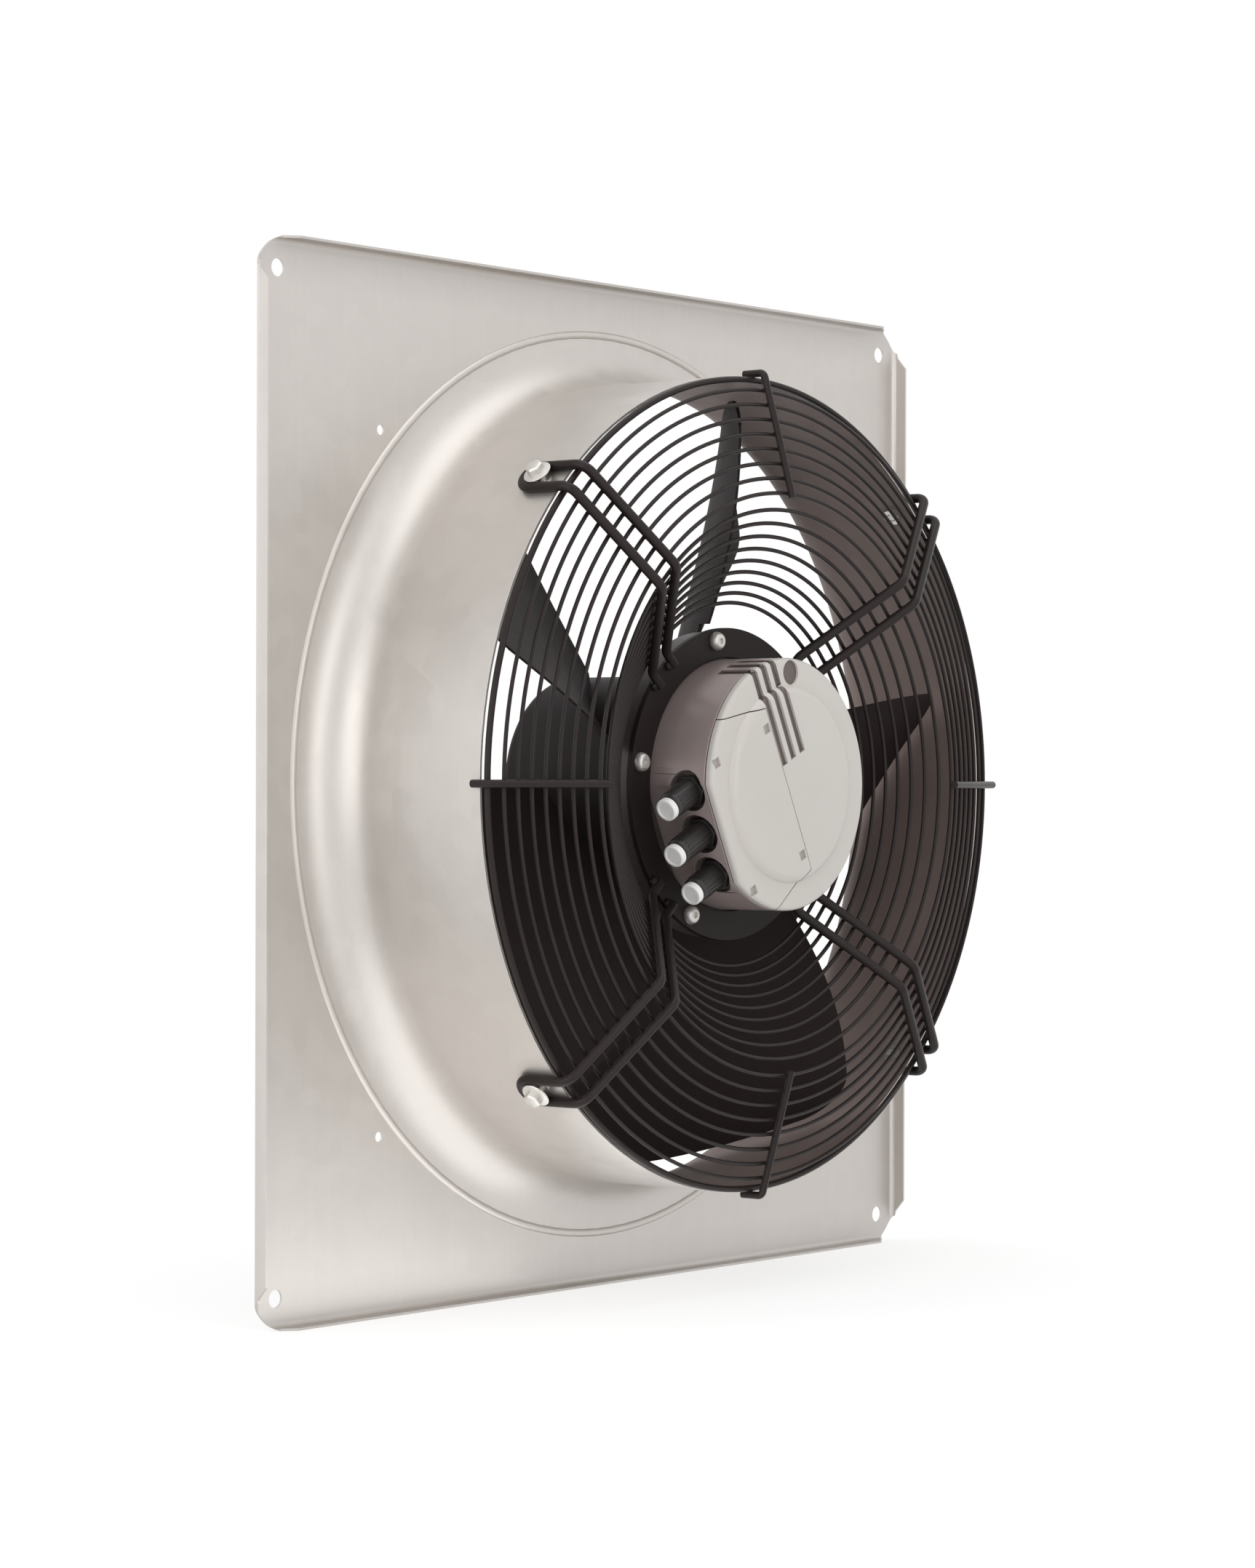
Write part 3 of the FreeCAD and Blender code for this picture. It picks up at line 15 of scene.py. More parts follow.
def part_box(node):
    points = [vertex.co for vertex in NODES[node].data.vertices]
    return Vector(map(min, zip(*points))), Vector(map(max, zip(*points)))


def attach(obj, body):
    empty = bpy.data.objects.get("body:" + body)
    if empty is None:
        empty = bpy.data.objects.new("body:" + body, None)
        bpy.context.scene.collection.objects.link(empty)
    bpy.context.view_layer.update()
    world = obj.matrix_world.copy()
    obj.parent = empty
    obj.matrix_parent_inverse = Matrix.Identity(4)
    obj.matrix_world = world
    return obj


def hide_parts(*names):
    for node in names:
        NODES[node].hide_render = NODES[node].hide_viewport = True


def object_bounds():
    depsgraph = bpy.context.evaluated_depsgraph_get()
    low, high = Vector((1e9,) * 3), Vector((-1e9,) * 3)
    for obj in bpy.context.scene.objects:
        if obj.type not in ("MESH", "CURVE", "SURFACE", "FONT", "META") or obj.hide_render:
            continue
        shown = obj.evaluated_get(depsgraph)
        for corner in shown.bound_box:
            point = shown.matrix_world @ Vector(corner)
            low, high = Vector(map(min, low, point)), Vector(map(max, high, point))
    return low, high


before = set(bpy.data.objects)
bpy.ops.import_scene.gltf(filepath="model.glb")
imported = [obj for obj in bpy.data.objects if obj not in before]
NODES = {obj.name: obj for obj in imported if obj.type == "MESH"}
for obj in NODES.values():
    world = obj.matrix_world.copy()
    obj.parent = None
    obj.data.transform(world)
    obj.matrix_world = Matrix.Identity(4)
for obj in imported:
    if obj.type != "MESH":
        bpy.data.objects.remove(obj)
CAD_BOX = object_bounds()

bl_info = {
    "name": "Axial wall fan",
    "version": (1, 0, 0),
    "blender": (4, 5, 0),
    "location": "3D View > Sidebar > Fan",
    "description": "Finishes and small hardware of an axial wall fan, and its studio",
    "category": "Object",
}

FIXED = "fan_frame"
TURNING = "rotor"
MM = 0.001
SHARP = math.radians(35)
ARMS = ("upper_right", "upper_left", "lower_left", "lower_right")
STIFFENERS = ("right", "top", "left", "bottom")
GLANDS = ("upper", "middle", "lower")
BEARINGS = ("front", "rear")


# Sizes and colours that a user would change

def colour_property(name, description, default):
    return bpy.props.FloatVectorProperty(
        name=name, description=description, default=default, subtype="COLOR", size=3, min=0.0, max=1.0)


def length_property(name, description, default):
    return bpy.props.FloatProperty(
        name=name, description=description, default=default, subtype="DISTANCE", unit="LENGTH", min=0.0)


def angle_property(name, description, default):
    return bpy.props.FloatProperty(name=name, description=description, default=default, subtype="ANGLE")


def count_property(name, description, default, least):
    return bpy.props.IntProperty(name=name, description=description, default=default, min=least)


def lamp_property(name, description, default):
    return bpy.props.FloatProperty(name=name, description=description, default=default, min=0.0, unit="POWER")


class FanColours(bpy.types.PropertyGroup):
    """Colours of the fan's finishes."""

    sheet: colour_property("Sheet", "Galvanised sheet of the wall plate", (0.615, 0.582, 0.55))
    # Painted shade on the nozzle's inner wall: a darker brown that stands in for the dark impeller's
    # reflection and the shade within the nozzle.
    throat: colour_property("Throat", "Painted shade on the nozzle's inner wall", (0.27, 0.207, 0.188))
    wire: colour_property("Wire", "Coated wire and rods of the guard", (0.022, 0.0162, 0.0150))
    blade: colour_property("Blade", "Coated blades", (0.028, 0.0212, 0.0198))
    flange: colour_property("Flange", "Coated flange ring", (0.018, 0.0136, 0.0128))
    rotor: colour_property("Rotor", "Rotor can and the hub on it", (0.020, 0.0160, 0.0155))
    casting: colour_property("Casting", "Cast motor flange", (0.075, 0.064, 0.061))
    housing: colour_property("Housing", "Electronics housing", (0.41, 0.338, 0.324))
    cover: colour_property("Cover", "Pale covers", (0.585, 0.555, 0.518))
    # Slot: painted shade on the sunk floors of the cover's slots and clip windows, the housing's grooves and
    # the gland recesses; also the access plug's own colour.
    slot: colour_property("Slot", "Shaded floor of the ventilation slots", (0.125, 0.100, 0.093))
    zinc: colour_property("Zinc", "Zinc-plated screws", (0.70, 0.68, 0.645))
    gland: colour_property("Gland", "Cable glands", (0.022, 0.0185, 0.018))
    plug: colour_property("Plug", "Blanking plugs", (0.86, 0.852, 0.83))
    rubber: colour_property("Rubber", "Seals", (0.018, 0.017, 0.017))
    copper: colour_property("Copper", "Enamelled winding wire", (0.55, 0.22, 0.09))
    steel: colour_property("Steel", "Bearing and shaft steel", (0.62, 0.62, 0.63))
    magnet: colour_property("Magnet", "Ferrite magnets", (0.06, 0.06, 0.065))
    cage: colour_property("Cage", "Plastic bearing cages", (0.40, 0.33, 0.22))
    board: colour_property("Board", "Lacquered circuit board", (0.018, 0.14, 0.06))
    terminal: colour_property("Terminal", "Terminal block and spacers", (0.38, 0.39, 0.40))
    floor: colour_property("Floor", "Pale studio floor", (0.80, 0.80, 0.80))


class FanSizes(bpy.types.PropertyGroup):
    """Sizes of the small hardware."""

    crease: angle_property("Crease", "Edges that turn by more than this stay sharp", math.radians(28))
    edge: length_property("Edge", "Rounding of cast and moulded edges", 0.5 * MM)
    wire_sides: count_property("Wire sides", "Sides of a guard wire", 10, 6)
    wire_steps: count_property("Wire steps", "Steps round a guard wire's ring", 180, 32)
    arm_rod: length_property("Arm rod", "Thickness of the guard arms' rod", 6.2 * MM)
    weld: length_property("Weld", "Size of a weld bead between two wires", 1.7 * MM)
    foot_weld: length_property("Foot weld", "Size of a weld bead on the arms' feet", 2.4 * MM)
    foot_weld_pitch: length_property(
        "Foot weld pitch", "Distance between the beads of a foot's weld", 1.6 * MM)
    bolt_head: length_property("Bolt head", "Radius of a guard bolt's head", 5.5 * MM)
    bolt_head_height: length_property("Bolt head height", "Height of a guard bolt's head", 4.5 * MM)
    bolt_flange_height: length_property("Bolt flange height", "Height of a guard bolt's flange", 2.0 * MM)
    bolt_shank: length_property("Bolt shank", "Radius of a guard bolt's shank", 3.0 * MM)
    flange_screw_height: length_property("Flange screw height", "Height of a flange screw's head", 5.0 * MM)
    flange_screw_shank: length_property("Flange screw shank", "Radius of a flange screw's shank", 3.0 * MM)
    hub_screw_height: length_property("Hub screw height", "Height of a hub screw's head", 3.5 * MM)
    hub_screw_shank: length_property("Hub screw shank", "Radius of a hub screw's shank", 2.5 * MM)
    socket_share: bpy.props.FloatProperty(
        name="Socket share", description="Width of a hexagon socket, as a share of its head's radius",
        default=3.6 / 6.1, min=0.1, max=1.0)
    motor_turn: angle_property(
        "Motor turn", "Turn of the motor and its housing from upright", math.radians(25.5))
    slot_count: count_property("Slots", "Number of ventilation slots", 3, 1)
    slot_width: length_property("Slot width", "Width of a ventilation slot", 5.6 * MM)
    slot_pitch: length_property("Slot pitch", "Distance between ventilation slots", 9.85 * MM)
    slot_first: bpy.props.FloatProperty(
        name="First slot", description="Place of the first ventilation slot",
        default=-3.6 * MM, unit="LENGTH")
    slot_end: length_property("Slot end", "Distance of the slots' inner ends from the fan's axis", 15.4 * MM)
    cover_shoulder: length_property(
        "Cover shoulder", "Width of the rounding down from the cover's disc to its rim", 6.0 * MM)
    gland_well: length_property("Gland well", "Width of the recess that a gland stands in", 26.0 * MM)
    grip_ribs: count_property("Grip ribs", "Ribs round a gland's cap", 18, 6)


class FanStudio(bpy.types.PropertyGroup):
    """Camera, lamps and floor."""

    turn: angle_property("Turn", "Camera's turn from straight on, about +Z", math.radians(50.85))
    distance: length_property("Distance", "Camera's distance from the fan's axis", 2.609)
    offset: length_property("Offset", "Camera's place to the right of the line to the origin", 0.0161)
    roll: angle_property("Roll", "Camera's roll", math.radians(0.14))
    view_height: angle_property("View height", "Camera's vertical angle of view", 2 * math.atan(1078 / 5466))
    surround: bpy.props.FloatProperty(
        name="Surround", description="Light from all round", default=0.76, min=0.0)
    shadow_tone: bpy.props.FloatProperty(
        name="Shadow tone", description="Part of the floor's white that a shadow takes away",
        default=0.38, min=0.0)
    floor_glow: bpy.props.FloatProperty(
        name="Floor glow", description="Part of the floor's white that stays in a shadow",
        default=0.66, min=0.0)
    fade_start: length_property("Fade start", "Distance at which the floor starts to turn plain white", 0.7)
    fade_end: length_property("Fade end", "Distance from which the floor is plain white", 1.6)
    left_lamp: lamp_property("Left lamp", "Power of the lamp on the left", 24.0)
    near_lamp: lamp_property("Near lamp", "Power of the lamp close in front", 6.0)
    top_lamp: lamp_property("Top lamp", "Power of the lamp overhead", 19.0)
    floor_bounce: lamp_property("Floor bounce", "Power of the low light under the nozzle", 0.2)
    front_lamp: lamp_property("Front lamp", "Power of the lamp in front, on the right", 0.8)
    side_lamp: lamp_property("Side lamp", "Power of the lamp on the right", 3.0)
    back_lamp: lamp_property("Back lamp", "Power of the lamp behind", 10.0)


def colours():
    return bpy.context.scene.fan_colours


def sizes():
    return bpy.context.scene.fan_sizes


def studio():
    return bpy.context.scene.fan_studio


# Shader maths and finishes

def add_node(tree, kind, settings, inputs):
    """Add a node to a tree: its settings first, then the values or links of its sockets."""
    made = tree.nodes.new(kind)
    for name, value in settings.items():
        setattr(made, name, value)
    for name, value in inputs.items():
        source = value.socket if isinstance(value, Signal) else value
        if isinstance(source, bpy.types.NodeSocket):
            tree.links.new(source, made.inputs[name])
        else:
            made.inputs[name].default_value = source
    return made


class Signal:
    """A shader socket under Python's operators: an expression on values adds its Math nodes."""

    def __init__(self, finish, socket):
        self.finish = finish
        self.socket = socket

    def maths(self, operation, *values):
        """Result of a Math node on values."""
        return self.finish.node("ShaderNodeMath", {"operation": operation}, dict(enumerate(values)))

    def __add__(self, other):
        return self.maths("ADD", self, other)

    def __sub__(self, other):
        return self.maths("SUBTRACT", self, other)

    def __mul__(self, other):
        return self.maths("MULTIPLY", self, other)

    def __truediv__(self, other):
        return self.maths("DIVIDE", self, other)

    def __pow__(self, other):
        return self.maths("POWER", self, other)

    def __radd__(self, other):
        return self.maths("ADD", other, self)

    def __rsub__(self, other):
        return self.maths("SUBTRACT", other, self)

    def __rmul__(self, other):
        return self.maths("MULTIPLY", other, self)

    def below(self, limit):
        """1 under the limit, otherwise 0."""
        return self.maths("LESS_THAN", self, limit)

    def above(self, limit):
        """1 over the limit, otherwise 0."""
        return self.maths("GREATER_THAN", self, limit)

    def within(self, low, high):
        """The value, held between low and high."""
        return self.maths("MINIMUM", self.maths("MAXIMUM", self, low), high)

    def ramp(self, low, high):
        """0 up to low, 1 from high on, and straight between them."""
        return self.finish.node(
            "ShaderNodeMapRange", {"clamp": True}, {"Value": self, "From Min": low, "From Max": high})


class Finish:
    """A material or world being made; its method node adds any node of its tree."""

    def __init__(self, name, world=False):
        self.owner = (bpy.data.worlds if world else bpy.data.materials).new(name)
        self.owner.use_nodes = True
        self.tree = self.owner.node_tree
        self.tree.nodes.clear()
        self.end = "ShaderNodeOutputWorld" if world else "ShaderNodeOutputMaterial"

    def node(self, kind, settings, inputs, out=0):
        """Add a node and give the signal of one of its outputs."""
        return Signal(self, add_node(self.tree, kind, settings, inputs).outputs[out])

    def place(self):
        """Place of a point in the fan's own frame."""
        return self.node("ShaderNodeTexCoord", {}, {}, "Object")

    def parts(self, vector):
        """Signals of a vector along X, Y and Z."""
        split = self.node("ShaderNodeSeparateXYZ", {}, {"Vector": vector})
        return [Signal(self, split.socket.node.outputs[axis]) for axis in range(3)]

    def axes(self):
        """Signals of the place along X, Y and Z."""
        return self.parts(self.place())

    def from_axis(self):
        """Distance from the fan's axis."""
        across, _, up = self.axes()
        return (across * across + up * up) ** 0.5

    def stretched(self, x, y, z):
        """The place, stretched along each axis."""
        return self.node(
            "ShaderNodeVectorMath", {"operation": "MULTIPLY"}, {0: self.place(), 1: (x, y, z)})

    def noise(self, scale, detail=2.0, place=None):
        """Cloudy noise, from 0 to 1."""
        return self.node("ShaderNodeTexNoise", {}, {
            "Vector": place or self.place(), "Scale": scale, "Detail": detail})

    def cells(self, scale):
        """Random tone of each crystal or grain."""
        tone = self.node("ShaderNodeTexVoronoi", {}, {"Vector": self.place(), "Scale": scale}, "Color")
        return self.node("ShaderNodeSeparateColor", {}, {"Color": tone})

    def toned(self, colour, tone):
        """The colour, made lighter or darker by the tone."""
        return self.node(
            "ShaderNodeVectorMath", {"operation": "SCALE"}, {0: tuple(colour), "Scale": tone})

    def mixed(self, share, first, second):
        """First colour at a share of 0, second at 1."""
        colours_in = [colour if isinstance(colour, Signal) else (*colour, 1.0) for colour in (first, second)]
        return self.node("ShaderNodeMix", {"data_type": "RGBA"}, {
            0: share, 6: colours_in[0], 7: colours_in[1]}, 2)

    def facing(self):
        """Signals of the way that a face looks, along X, Y and Z."""
        return self.parts(self.node("ShaderNodeNewGeometry", {}, {}, "Normal"))

    def inward(self):
        """How much a face looks towards the fan's axis, from -1 to 1."""
        across, _, up = self.axes()
        facing_across, _, facing_up = self.facing()
        return -1.0 * (facing_across * across + facing_up * up) / self.from_axis()

    def frontward(self):
        """How much a face looks to the front of the fan, from -1 to 1."""
        _, backward, _ = self.facing()
        return -1.0 * backward

    def bump(self, height, depth, strength=1.0):
        """Normals of a relief with that depth."""
        return self.node("ShaderNodeBump", {}, {
            "Height": height, "Distance": depth, "Strength": strength}, "Normal")

    def shade(self, **sockets):
        """Principled shader of the finish; a socket's name has _ for each space."""
        return self.show(self.node("ShaderNodeBsdfPrincipled", {}, {
            name.replace("_", " "): value for name, value in sockets.items()}))

    def show(self, shader):
        """End the tree in a shader, and give the material or world."""
        add_node(self.tree, self.end, {}, {"Surface": shader})
        return self.owner

    def blended(self, share, first, second):
        """First shader at a share of 0, second at 1."""
        return self.node("ShaderNodeMixShader", {}, {0: share, 1: first, 2: second})

    def ray(self, kind):
        """1 for rays of a kind, otherwise 0."""
        return self.node("ShaderNodeLightPath", {}, {}, f"Is {kind} Ray")

    def seen(self):
        """1 for camera, glossy and transmission rays, otherwise 0."""
        total = self.ray("Camera")
        for kind in ("Glossy", "Transmission"):
            total = total.maths("MAXIMUM", total, self.ray(kind))
        return total


def galvanised_sheet():
    """Skin-passed zinc: faint crystals, broad clouds and upright rolling lines, with painted shade along the
    top and bottom bends and on the nozzle's inner wall.
    """
    finish = Finish("galvanised_sheet")
    cloud = finish.noise(4.0, 3.0) - 0.5
    crystal = finish.cells(70.0) - 0.5
    rolling = finish.noise(1.0, 3.0, finish.stretched(260.0, 260.0, 4.0)) - 0.5
    _, _, up = finish.axes()
    # Painted shade: the sheet darkens towards its top and bottom bends, standing in for a dark reflection
    # there.
    edge, bend_start, bend_end = CAD_BOX[1].z, 28.0 * MM, 5.0 * MM
    bend_shade = up.maths("ABSOLUTE", up).ramp(edge - bend_start, edge - bend_end)
    tone = 1.0 + cloud * 0.10 + crystal * 0.035 + rolling * 0.05 - bend_shade * 0.10
    sheet = finish.toned(colours().sheet, tone)
    # Painted shade: the nozzle's inner wall takes a darker brown colour with a mottle, standing in for the
    # dark impeller's reflection and the shade within; the same mask makes it less metallic and rougher.
    wall_shade_mask = finish.inward().ramp(0.10, 0.45) * finish.from_axis().below(mouth_radius())
    wall_shade_mottle = 1.0 + (finish.noise(9.0, 3.0) - 0.5) * 0.5
    wall_shade_colour = finish.toned(colours().throat, wall_shade_mottle)
    return finish.shade(
        Base_Color=finish.mixed(wall_shade_mask, sheet, wall_shade_colour),
        Metallic=0.75 - wall_shade_mask * 0.45,
        Roughness=0.41 + crystal * 0.05 + cloud * 0.08 + rolling * 0.05 + wall_shade_mask * 0.2,
        Normal=finish.bump(rolling + crystal * 0.4, 0.06 * MM, 0.6))


def mouth_radius():
    """Radius of the nozzle's mouth, read off the edge nearest the axis in the plate's back."""
    points = node_points("wall_plate")
    back = points[points[:, 1] > points[:, 1].max() - 0.1 * MM]
    return float(np.hypot(back[:, 0], back[:, 2]).min())


def black_coat(name, colour, roughness, worn, gloss=0.18):
    """Baked black coating: a fine orange peel, cloudy gloss and dusty patches."""
    finish = Finish(name)
    peel = finish.noise(300.0, 2.0)
    cloud = finish.noise(14.0, 3.0)
    dust = finish.noise(55.0, 4.0).ramp(0.45, 0.85) * worn
    tone = 0.86 + cloud * 0.28
    dusty = tuple(0.8 * channel + 0.018 for channel in colour)
    return finish.shade(
        Base_Color=finish.mixed(dust, finish.toned(colour, tone), dusty),
        Metallic=0.0,
        Roughness=roughness + (cloud - 0.5) * 0.16 + dust * 0.2,
        Specular_IOR_Level=gloss,
        Normal=finish.bump(peel, 0.03 * MM, 0.2))


def slot_lanes(finish):
    """1 in the lanes of the ventilation slots, which run outwards on the upper side of the motor."""
    across, _, up = finish.axes()
    cosine, sine = math.cos(sizes().motor_turn), math.sin(sizes().motor_turn)
    lane = (across * cosine + up * sine - sizes().slot_first) / sizes().slot_pitch
    nearest = lane.maths("ROUND", lane).within(0.0, sizes().slot_count - 1.0)
    apart = lane.maths("ABSOLUTE", lane - nearest) * sizes().slot_pitch
    return apart.below(sizes().slot_width / 2) * (up * cosine - across * sine).above(sizes().slot_end)


def cast_metal(name, colour, roughness, metallic, painted_shade=None):
    """Blasted aluminium casting: a fine grain and slow clouds; an optional mask gives where shade is painted
    in the slot colour.
    """
    finish = Finish(name)
    grain = finish.noise(1400.0, 3.0)
    cloud = finish.noise(22.0, 3.0)
    tone = 0.88 + cloud * 0.24 + (grain - 0.5) * 0.10
    base = finish.toned(colour, tone)
    # Painted shade: the slot colour is laid where the mask says.
    if painted_shade:
        base = finish.mixed(painted_shade(finish), base, colours().slot)
    return finish.shade(
        Base_Color=base,
        Metallic=metallic,
        Roughness=roughness + (cloud - 0.5) * 0.14 + (grain - 0.5) * 0.06,
        Normal=finish.bump(grain, 0.12 * MM, 0.45))


def moulded_plastic(name, colour, roughness, grain_size=0.9 * MM, painted_shade=None):
    """Moulded plastic with a spark-eroded grain and a faint flow pattern; an optional mask gives where shade
    is painted in the slot colour.
    """
    finish = Finish(name)
    grain = finish.noise(1.0 / grain_size, 2.0)
    flow = finish.noise(16.0, 2.0)
    base = finish.toned(colour, 0.955 + flow * 0.09)
    # Painted shade: the slot colour is laid where the mask says.
    if painted_shade:
        base = finish.mixed(painted_shade(finish), base, colours().slot)
    return finish.shade(
        Base_Color=base,
        Metallic=0.0,
        Roughness=roughness + (flow - 0.5) * 0.10 + (grain - 0.5) * 0.08,
        Normal=finish.bump(grain, 0.06 * MM, 0.5))


def plated_steel(name, colour, roughness, scale=500.0):
    """Bright plating with fine turning marks and matt flecks."""
    finish = Finish(name)
    fleck = finish.noise(scale, 4.0)
    cloud = finish.noise(60.0, 2.0)
    return finish.shade(
        Base_Color=finish.toned(colour, 0.88 + cloud * 0.14 + fleck * 0.10),
        Metallic=0.85,
        Roughness=roughness + (fleck - 0.5) * 0.16,
        Normal=finish.bump(fleck, 0.03 * MM, 0.5))


def soft_rubber():
    """Dull black rubber with a grey bloom."""
    finish = Finish("seal_rubber")
    grain = finish.noise(1100.0, 3.0)
    bloom = finish.noise(40.0, 3.0)
    return finish.shade(
        Base_Color=finish.toned(colours().rubber, 0.8 + bloom * 0.5),
        Metallic=0.0,
        Roughness=0.72 + (bloom - 0.5) * 0.2,
        Normal=finish.bump(grain, 0.08 * MM, 0.6))


def banded(distance, pitch):
    """Round-topped bands across a distance: 0 in the grooves, 1 on the crowns."""
    return distance.maths("SINE", distance * (2 * math.pi / pitch)) * 0.5 + 0.5


def copper_winding():
    """Layers of enamelled wire, wound round the teeth and stacked outwards along them."""
    finish = Finish("copper_winding")
    wires = banded(finish.from_axis(), 0.9 * MM)
    # Painted shade: the grooves between the wires are darker than their crowns.
    tone = 0.45 + wires * 0.55 + (finish.noise(300.0, 2.0) - 0.5) * 0.3
    return finish.shade(
        Base_Color=finish.toned(colours().copper, tone),
        Metallic=0.8,
        Roughness=0.34 - (wires - 0.5) * 0.1,
        Normal=finish.bump(wires, 0.2 * MM))


def core_laminations():
    """Stack of punched steel sheets, seen as fine lines along the axis."""
    finish = Finish("core_laminations")
    _, depth, _ = finish.axes()
    sheets = banded(depth, 0.65 * MM)
    rust = finish.noise(90.0, 4.0).ramp(0.55, 0.8)
    tone = 0.5 + sheets * 0.3
    return finish.shade(
        Base_Color=finish.mixed(rust * 0.4, finish.toned(colours().steel, tone), (0.12, 0.06, 0.035)),
        Metallic=0.75 - rust * 0.3,
        Roughness=0.42 + rust * 0.25,
        Normal=finish.bump(sheets, 0.1 * MM))


def lacquered_board():
    """Green lacquer over copper tracks."""
    finish = Finish("lacquered_board")
    tracks = finish.node("ShaderNodeTexVoronoi", {"feature": "DISTANCE_TO_EDGE", "distance": "EUCLIDEAN"},
                         {"Vector": finish.stretched(1.0, 0.0, 1.0), "Scale": 130.0}).below(0.10)
    tone = 0.85 + tracks * 0.9
    return finish.shade(
        Base_Color=finish.toned(colours().board, tone),
        Metallic=0.0,
        Roughness=0.30 + (finish.noise(200.0) - 0.5) * 0.1,
        Normal=finish.bump(tracks, 0.04 * MM))


def sintered_magnet():
    """Grainy pressed ferrite."""
    finish = Finish("sintered_magnet")
    grain = finish.noise(700.0, 4.0)
    return finish.shade(
        Base_Color=finish.toned(colours().magnet, 0.7 + grain * 0.6),
        Metallic=0.2,
        Roughness=0.55 + (grain - 0.5) * 0.3,
        Normal=finish.bump(grain, 0.1 * MM, 0.6))


# Meshes

def node_points(node):
    """Places of a CAD node's vertices."""
    mesh = NODES[node].data
    flat = np.empty(len(mesh.vertices) * 3, np.float32)
    mesh.vertices.foreach_get("co", flat)
    return flat.reshape(-1, 3).astype(float)


def new_piece(name, mesh, material):
    """Object of a mesh, in the scene and with its material."""
    piece = bpy.data.objects.new(name, mesh)
    bpy.context.scene.collection.objects.link(piece)
    mesh.materials.clear()
    mesh.materials.append(material)
    return piece


def dress(piece, body, slot, *replaced):
    """Let a finished piece ride on its body in place of the CAD nodes that it stands for."""
    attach(piece, body)
    if replaced:
        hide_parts(*replaced)


def paint(material, *nodes, rounded=False):
    """Give CAD nodes their finish, joined faces and smooth shading, with rounded edges where asked."""
    for node in nodes:
        thing = NODES[node]
        thing.data.materials.clear()
        thing.data.materials.append(material)
        shading = thing.modifiers.new("smooth_shading", "NODES")
        shading.node_group = recipe_tree(smooth_shading)
        set_input(shading, "Crease", sizes().crease)
        if rounded:
            bevel = thing.modifiers.new("rounded_edges", "BEVEL")
            bevel.width = sizes().edge
            bevel.segments = 2
            bevel.limit_method = "ANGLE"
            bevel.angle_limit = math.radians(40)
            bevel.harden_normals = True


def lathe(profile, steps):
    """Mesh turned about Z from a profile of height and radius that starts and ends on the axis or closes."""
    shape = bmesh.new()
    rings = []
    for height, radius in profile:
        if radius < 1e-7:
            rings.append([shape.verts.new((0, 0, height))])
            continue
        turns = (2 * math.pi * step / steps for step in range(steps))
        rings.append([shape.verts.new((radius * math.cos(t), radius * math.sin(t), height)) for t in turns])
    for first, second in zip(rings, rings[1:]):
        for step in range(steps):
            after = (step + 1) % steps
            corners = [first[step % len(first)], first[after % len(first)],
                       second[after % len(second)], second[step % len(second)]]
            shape.faces.new(list(dict.fromkeys(corners)))
    bmesh.ops.recalc_face_normals(shape, faces=shape.faces)
    return to_mesh(shape)


def to_mesh(shape):
    """Mesh of a shape, smooth up to the sharp angle."""
    mesh = bpy.data.meshes.new("shape")
    shape.to_mesh(mesh)
    shape.free()
    mesh.polygons.foreach_set("use_smooth", [True] * len(mesh.polygons))
    mesh.set_sharp_from_angle(angle=SHARP)
    return mesh


def joined(meshes):
    """One mesh of several."""
    shape = bmesh.new()
    for mesh in meshes:
        shape.from_mesh(mesh)
    made = to_mesh(shape)
    for mesh in meshes:
        bpy.data.meshes.remove(mesh)
    return made


def facing(direction, place):
    """Matrix that turns +Z to a direction and carries the origin to a place."""
    turn = Vector(direction).to_track_quat("Z", "Y").to_matrix().to_4x4()
    return Matrix.Translation(Vector(place)) @ turn


def rounded_corner(height, radius, size, steps=4):
    """Quarter round from the side of a turned piece to its end at a height, as profile points."""
    turns = (math.pi / 2 * step / steps for step in range(steps + 1))
    return [(height - size + size * math.sin(t), radius - size + size * math.cos(t)) for t in turns]


def bridge(shape, first, second):
    """Faces between two rings of as many points."""
    for index in range(len(first)):
        after = (index + 1) % len(first)
        shape.faces.new([first[index], first[after], second[after], second[index]])



# Geometry node trees

class Recipe:
    """A geometry node tree being made, with named inputs for its sizes."""

    def __init__(self, name, **inputs):
        self.tree = bpy.data.node_groups.new(name, "GeometryNodeTree")
        face = self.tree.interface
        face.new_socket("Geometry", in_out="INPUT", socket_type="NodeSocketGeometry")
        face.new_socket("Geometry", in_out="OUTPUT", socket_type="NodeSocketGeometry")
        for label, kind in inputs.items():
            face.new_socket(label.replace("_", " "), in_out="INPUT", socket_type=f"NodeSocket{kind}")
        self.start = add_node(self.tree, "NodeGroupInput", {}, {}).outputs
        self.end = add_node(self.tree, "NodeGroupOutput", {}, {}).inputs

    def node(self, kind, settings, inputs, out=0):
        """Add a node and give one of its outputs."""
        return add_node(self.tree, kind, settings, inputs).outputs[out]

    def close(self, geometry):
        """End in real, painted geometry."""
        real = self.node("GeometryNodeRealizeInstances", {}, {"Geometry": geometry})
        painted = self.node(
            "GeometryNodeSetMaterial", {}, {"Geometry": real, "Material": self.start["Material"]})
        self.tree.links.new(painted, self.end["Geometry"])
        return self.tree


def set_input(modifier, label, value):
    """Set a tree's input on its modifier, by the socket's identifier."""
    for item in modifier.node_group.interface.items_tree:
        if item.in_out == "INPUT" and item.name == label:
            modifier[item.identifier] = value
            return
    raise KeyError(label)


